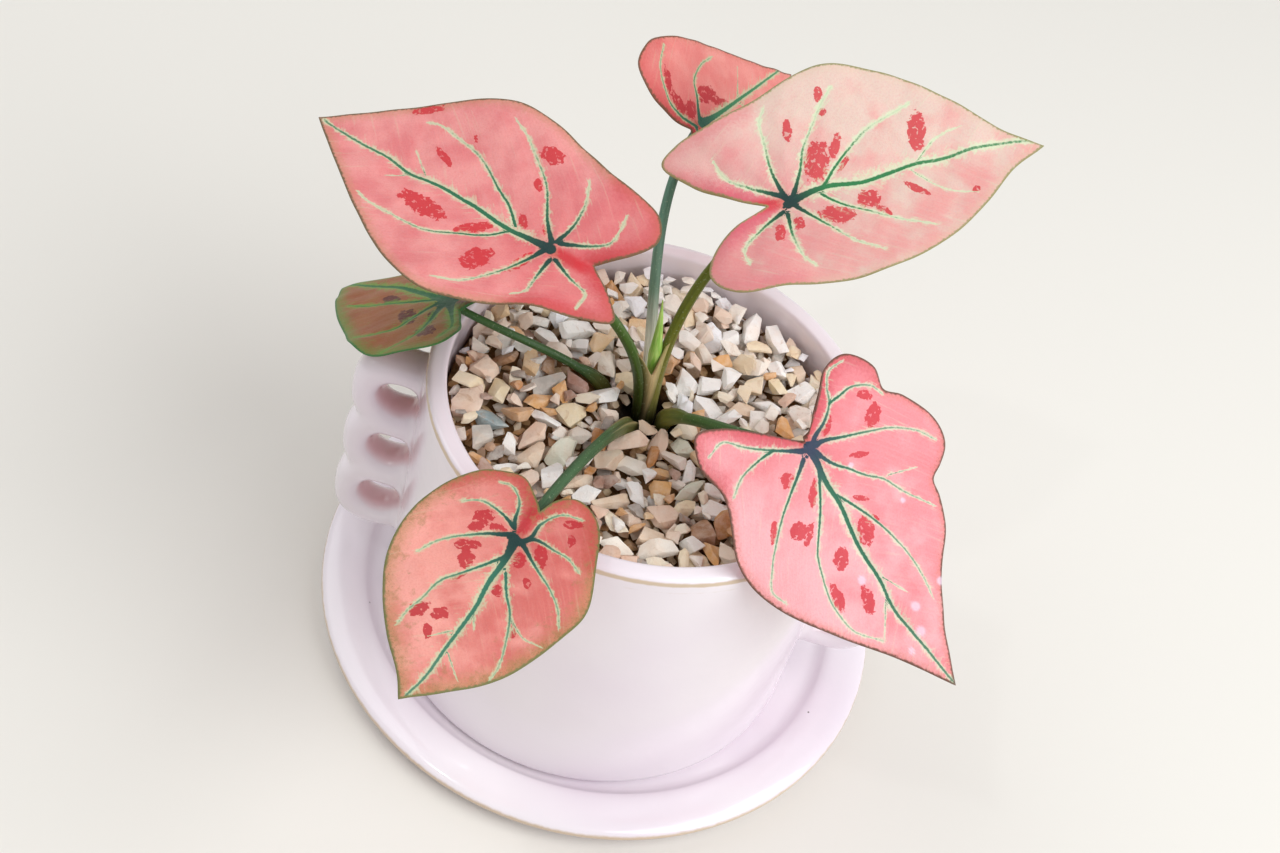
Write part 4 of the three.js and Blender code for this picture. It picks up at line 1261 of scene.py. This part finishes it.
PLACED_STONES = [  # x, y, half length, half width, turn and shade
    (-15, -6, 5.4, 2.6, 50, "white"), (-23, -15, 5.1, 3.6, 40, "straw"),
    (-30, -21, 5.1, 2, -10, "white"), (-24, -4, 5.4, 2.6, -25, "rose"), (-32, -8, 4.8, 3, 40, "grey"),
    (-45, -15, 5.2, 2.6, 90, "straw"), (-49, -11, 5.1, 3.2, 35, "peach"),
    (-52, -22, 5.2, 3.8, 95, "peach"), (-45, -26, 4.6, 3, -20, "slate"),
    (-45, -33, 4, 3.2, 35, "grey"), (-38, -33, 3.7, 2, 90, "white"), (-37, -41, 4.8, 1.9, 25, "white"),
    (-32, -28, 4.6, 3.2, 35, "peach"), (-31, -36, 4.1, 3.2, 55, "tan"),
    (-23, -32, 5, 3.2, 60, "celadon"), (-21, -25, 4.2, 2.8, -25, "cream"),
    (-16, -17, 3.4, 1.9, 65, "cream"), (-18, 6, 5, 2.8, 100, "cream"),
    (-11, 3.5, 4.6, 2.6, 95, "straw"), (-9, -2.5, 2.6, 1.3, 20, "ochre"), (-29, 16, 6, 4, 20, "white"),
    (-37, 11, 5.3, 2.4, -45, "white"), (6.5, 7, 5.2, 3.2, 90, "white"), (12, 8.5, 3.8, 3, 20, "white"),
    (14, 0.5, 5.2, 4, -20, "white"), (3, 5, 3.6, 1.5, -65, "white"), (17, 13, 4.5, 2.8, 75, "white"),
    (33, 34, 5.6, 3.4, -55, "white"), (39, 25, 4, 2.2, 95, "tan"), (24, 3, 4.8, 3, 0, "tan"),
    (20, 7.5, 5.4, 1.8, -20, "peach"), (32, 8, 5.1, 1.9, -20, "white"),
    (41, 17, 5.2, 3.4, 45, "white"), (33, 16, 3.6, 2.8, -55, "straw"), (22, 37, 6, 3.2, 90, "white"),
    (8, 16, 3.1, 2.4, -20, "peach"), (10, 22, 4.2, 3, -55, "cream"), (16, 32, 3.1, 2.5, 20, "white"),
    (20, -46, 3.9, 3.8, 20, "umber"), (7, -51, 4.6, 3.6, 75, "tan"), (9, -56, 4.8, 2.3, 25, "cream"),
    (-2, -57, 4.2, 2.2, 5, "cream"), (-5, -43, 5.5, 2.2, 25, "tan"), (9, -43, 4.1, 3.6, -40, "peach"),
    (14, -38, 3.7, 2.6, 30, "straw"), (22, -37, 3.8, 3.4, -20, "white"),
    (7, -34, 3.3, 2.8, 20, "ochre"), (-3, -29, 3.9, 3.4, -20, "cream"), (-9, -30, 4.3, 3.2, 55, "tan"),
    (15, -31, 5.6, 2.4, 60, "celadon"), (13, -26, 4.1, 1.9, 90, "white"),
    (5, -28, 2.9, 1.5, -5, "ochre"), (3, -17, 4.8, 2.4, 95, "peach"), (-5, -19, 5.2, 2.4, 40, "peach"),
    (7, -23, 5.4, 3, -60, "straw"), (-16, -40, 4.7, 2.6, 25, "tan"), (3.5, -13.5, 3.4, 2.2, 5, "tan"),
    (-3.5, -13.5, 2.6, 1.8, -20, "tan"), (9.5, -16.5, 3.4, 2.4, -35, "celadon"),
]


def ball_directions(cuts):
    """Directions all round a ball, from the sides of a cube cut into squares."""
    cube = bmesh.new()
    bmesh.ops.create_cube(cube, size=2)
    bmesh.ops.subdivide_edges(cube, edges=cube.edges, cuts=cuts, use_grid_fill=True)
    directions = np.tan(np.array([vertex.co[:] for vertex in cube.verts]) * math.pi / 4)
    cube.free()
    return directions / np.linalg.norm(directions, axis=1)[:, None]


def broken_stone(random, sizes, turn, tilt):
    """One stone: its half sizes, the facets it broke along, and the way it lies."""
    normals = np.vstack([np.eye(3), -np.eye(3), random.normal(size=(CHIPS, 3))])
    normals[:6] += random.normal(scale=FACET_TILT, size=(6, 3))
    normals /= np.linalg.norm(normals, axis=1)[:, None]
    depths = np.concatenate([random.uniform(*FACET_DEPTHS, 6), random.uniform(*CHIP_DEPTHS, CHIPS)])
    lean_x = Matrix.Rotation(random.normal(scale=tilt), 3, "X")
    lean = lean_x @ Matrix.Rotation(random.normal(scale=tilt), 3, "Y")
    return {"sizes": np.array(sizes), "normals": normals, "depths": depths,
            "turn": np.array(Matrix.Rotation(turn, 3, "Z") @ lean)}


def lie(stone, points):
    """A stone's points at its own size and the way it lies."""
    return points * stone["sizes"] @ stone["turn"].T


def footprint(stone, scale=1.0):
    """The grid cells under a stone, and its lowest and highest point over each."""
    facing = (BALL @ stone["normals"].T / stone["depths"]).max(axis=1)
    shape = scale * lie(stone, BALL * np.minimum(1 / facing, LARGEST_REACH)[:, None])
    cells = np.round(shape[:, :2] / GRAVEL_CELL).astype(int)
    low_corner = cells.min(axis=0)
    size = cells.max(axis=0) - low_corner + 1
    low = np.full(size, np.inf)
    high = np.full(size, -np.inf)
    index = tuple((cells - low_corner).T)
    np.minimum.at(low, index, shape[:, 2])
    np.maximum.at(high, index, shape[:, 2])
    covered = np.isfinite(low)
    return np.argwhere(covered) + low_corner, low[covered], high[covered]


def stone_mesh(stone):
    """A stone's points and triangles: flat facets, with narrow worn strips where they meet."""
    normals, depths = stone["normals"], stone["depths"]
    triples = np.array(list(itertools.combinations(range(len(normals)), 3)))
    firm = abs(np.linalg.det(normals[triples])) > 0.05
    corners = np.linalg.solve(normals[triples[firm]], depths[triples[firm]][..., None])[..., 0]
    gaps = depths - corners @ normals.T
    real = (gaps > -1e-6).all(axis=1)
    corners, on_facet = corners[real], gaps[real] < 1e-6
    corners *= np.minimum(1, LARGEST_REACH / np.linalg.norm(corners, axis=1))[:, None]
    shell = bmesh.new()
    for facet in on_facet.T:
        if facet.sum() > 2:
            middle = corners[facet].mean(axis=0)
            for corner in middle + FACET_SHARE * (corners[facet] - middle):
                shell.verts.new(corner)
    bmesh.ops.convex_hull(shell, input=shell.verts)
    loose = [vertex for vertex in shell.verts if not vertex.link_faces]
    bmesh.ops.delete(shell, geom=loose, context="VERTS")
    bmesh.ops.triangulate(shell, faces=shell.faces)
    if stone["seen"] > FULLY_CUT_SHARE:
        bmesh.ops.subdivide_edges(shell, edges=shell.edges, cuts=1, use_grid_fill=True)
    shell.verts.index_update()
    points = np.array([vertex.co[:] for vertex in shell.verts])
    faces = [[vertex.index for vertex in face.verts] for face in shell.faces]
    shell.free()
    points *= 1 + STONE_UNEVENNESS * unevenness(points + stone["place"], 0.7, 5)[:, None]
    return lie(stone, points) + stone["place"], faces


BALL = ball_directions(BALL_CUTS)
half_cells = int(GRAVEL_REACH / GRAVEL_CELL) + 2
cell_line = np.arange(-half_cells, half_cells + 1) * GRAVEL_CELL
cell_x, cell_y = np.meshgrid(cell_line, cell_line, indexing="ij")
ground = np.full(cell_x.shape, GRAVEL_FLOOR)
blocked = np.hypot(cell_x, cell_y) > GRAVEL_REACH
stones = []


def keep_clear(x, y, radius):
    """Leaves the soil bare round a spot."""
    blocked[np.hypot(cell_x - (x - POT_AXIS[0]), cell_y - (y - POT_AXIS[1])) < radius] = True


def drop(stone, spots):
    """Lets a stone fall at each spot in turn, leaves it where it lies lowest, or gives up."""
    cells, low, high = footprint(stone)
    best = (HIGHEST_REST, None)
    for spot in spots:
        shift = np.round(spot / GRAVEL_CELL).astype(int)
        index = cells + shift + half_cells
        if index.min() < 0 or index.max() >= len(cell_line) or blocked[tuple(index.T)].any():
            continue
        rest = (ground[tuple(index.T)] - low).max()
        if rest < best[0]:
            best = (rest, shift)
    if best[1] is None:
        return False
    rest, shift = best[0] - STONE_SINK, best[1]
    cell = tuple((cells + shift + half_cells).T)
    ground[cell] = np.maximum(ground[cell], high + rest)
    stone["place"] = np.array([*(shift * GRAVEL_CELL + POT_AXIS), rest])
    stone["cells"] = cell
    stone["tops"] = high + rest
    stones.append(stone)
    return True


def strew(random, sorts):
    for count, smallest, largest in sorts:
        for _ in range(count):
            length = random.uniform(smallest, largest)
            shares = [1, random.uniform(*STONE_WIDTHS), random.uniform(*STONE_HEIGHTS)]
            sizes = length * np.array(shares)
            stone = broken_stone(random, sizes, random.uniform(0, 2 * math.pi), STREWN_TILT)
            spread = GRAVEL_REACH * np.sqrt(random.uniform(0, 1, STONE_TRIALS))
            bearing = random.uniform(0, 2 * math.pi, STONE_TRIALS)
            drop(stone, np.stack([spread * np.cos(bearing), spread * np.sin(bearing)], axis=1))


for x, y, radius in BARE_SPOTS:
    keep_clear(x, y, radius)
for leaf_name in PETIOLES:
    line = petiole_line(leaf_name, np.linspace(0, 1, 80))
    for x, y, z in line:
        if STEM_HEIGHTS[0] < z < STEM_HEIGHTS[1]:
            keep_clear(x, y, STEM_CLEARANCE)
random = np.random.default_rng(STONE_SEED)
strew(random, BED_STONES)
compass = np.stack([np.cos(full_turn(8)), np.sin(full_turn(8))], axis=1)
for x, y, length, width, turn, stone_shade in PLACED_STONES:
    sizes = (length, width, 0.5 * math.sqrt(length * width))
    stone = broken_stone(random, sizes, math.radians(turn), PLACED_TILT)
    stone["colour"] = STONE_SHADES[stone_shade]
    for reach in PLACED_NEAR:
        if drop(stone, np.array([x, y]) - POT_AXIS + reach * compass):
            inner, _, _ = footprint(stone, KEPT_IN_SIGHT)
            shift = np.round((stone["place"][:2] - POT_AXIS) / GRAVEL_CELL).astype(int)
            blocked[tuple((inner + shift + half_cells).T)] = True
            break
strew(random, TOP_STONES)

stone_piles = {pile_name: [] for _, pile_name, _ in STONE_PILES}
for stone in stones:
    stone["seen"] = (stone["tops"] > ground[stone["cells"]] - 0.01).mean()
    x, y, _ = stone["place"]
    luck = random.uniform() + PALER_TO_RIGHT * x + PALER_TO_BACK * (y - POT_AXIS[1])
    pile_name, shades = [(pile, chosen) for limit, pile, chosen in STONE_PILES if luck < limit][-1]
    stone.setdefault("colour", shades[random.integers(len(shades))])
    if stone["seen"] > COVERED_SHARE:
        stone_piles[pile_name].append(stone)

new_material("crushed_stone")
gravel_place = object_place()
mottle = grain(gravel_place, 260, 5, 0.65)
blush = grain(gravel_place, 90, 3, 0.6, 0.4)
stain = grain(gravel_place, 190, 5, 0.7, 0.8)
grit = grain(gravel_place, 2200, 3, 0.6)
shade_low, shade_high = (height * MM for height in CREVICE_SHADE_HEIGHTS)
gravel_base = layers(
    stored("stone_colour", "Vector"),
    (ease(mottle, 0.3, 0.75, 0, 0.35), CHALK_COLOUR),
    (ease(blush, 0.5, 0.72, 0, 0.22), BLUSH_COLOUR),
    (ease(stain, 0.56, 0.72, 0, 0.42), STAIN_COLOUR),
    # painted shade low down between the stones
    (ease(one_axis(gravel_place, "Z"), shade_low, shade_high, 0.6, 0), CREVICE_SHADE_COLOUR),
    (ease(grit, 0.62, 0.75, 0, 0.25), GRIT_COLOUR))
gravel_finish = finish(gravel_base, ease(mottle, 0.3, 0.7, 0.55, 0.8), mottle * 2 + grit, 0.22,
                       Specular_IOR_Level=0.35)
for pile_name, pile in stone_piles.items():
    points = []
    faces = []
    shades = []
    total = 0
    for stone in pile:
        stone_points, stone_faces = stone_mesh(stone)
        points.append(stone_points)
        faces += [[total + i for i in face] for face in stone_faces]
        shades.append(np.tile(colour(stone["colour"])[:3], (len(stone_points), 1)))
        total += len(stone_points)
    gravel = make_piece(pile_name, np.vstack(points), faces)
    gravel.data.set_sharp_from_angle(angle=STONE_ARRIS)
    mark(gravel, "stone_colour", np.vstack(shades))
    gravel.data.materials.append(gravel_finish)
    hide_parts("gravel")

# ---- floor, light and camera
# A plain pale floor under the saucer, two large soft lamps and a small one for glints in a
# bright even room, and a camera that looks steeply down on the plant from the front.

FLOOR_HALF = 1.5
CAMERA_PLACE = (-0.015116, -0.343630, 0.469972)
CAMERA_RIGHT = (0.96325, 0.18392, 0.19576)
CAMERA_UP = (-0.26759, 0.72042, 0.63983)
CAMERA_BACK = (-0.02335, -0.66870, 0.74316)
CAMERA_LENS = 48.42
SENSOR_WIDTH = 36
LAMPS = [  # place, size in metres and power in watts
    ("window", (1.0, -0.35, 1.05), 1.2, 16.5), ("room", (-0.9, 0.3, 1.2), 1.2, 6),
    ("glint", (-0.42, -0.35, 1.15), 0.05, 0.6),
]
LAMP_COLOUR = (0.95, 0.985, 1)
ROOM_COLOUR = (0.98, 0.995, 1, 1)
ROOM_STRENGTH = 0.56
FLOOR_COLOUR = "#e6e1da"

floor_mesh = bpy.data.meshes.new("floor")
floor_corners = [(x * FLOOR_HALF, y * FLOOR_HALF, 0) for x, y in ((-1, -1), (1, -1), (1, 1), (-1, 1))]
floor_mesh.from_pydata(floor_corners, [], [(0, 1, 2, 3)])
floor = bpy.data.objects.new("floor", floor_mesh)
bpy.context.collection.objects.link(floor)
new_material("pale_floor")
floor_mesh.materials.append(finish(FLOOR_COLOUR, 0.6))

world = bpy.data.worlds.new("room")
bpy.context.scene.world = world
world.use_nodes = True
room_light = world.node_tree.nodes["Background"].inputs
room_light["Color"].default_value = ROOM_COLOUR
room_light["Strength"].default_value = ROOM_STRENGTH
for lamp_name, place, size, power in LAMPS:
    lamp = bpy.data.lights.new(lamp_name, "AREA")
    lamp.size = size
    lamp.energy = power
    lamp.color = LAMP_COLOUR
    lamp_object = bpy.data.objects.new(lamp_name, lamp)
    bpy.context.collection.objects.link(lamp_object)
    lamp_object.location = place
    lamp_object.rotation_euler = Vector(place).to_track_quat("Z", "Y").to_euler()

camera_data = bpy.data.cameras.new("camera")
camera_data.lens = CAMERA_LENS
camera_data.sensor_width = SENSOR_WIDTH
camera = bpy.data.objects.new("camera", camera_data)
bpy.context.collection.objects.link(camera)
camera_axes = Matrix((CAMERA_RIGHT, CAMERA_UP, CAMERA_BACK)).transposed().to_4x4()
camera.matrix_world = Matrix.Translation(CAMERA_PLACE) @ camera_axes
bpy.context.scene.camera = camera
bpy.context.scene.view_settings.view_transform = "Standard"
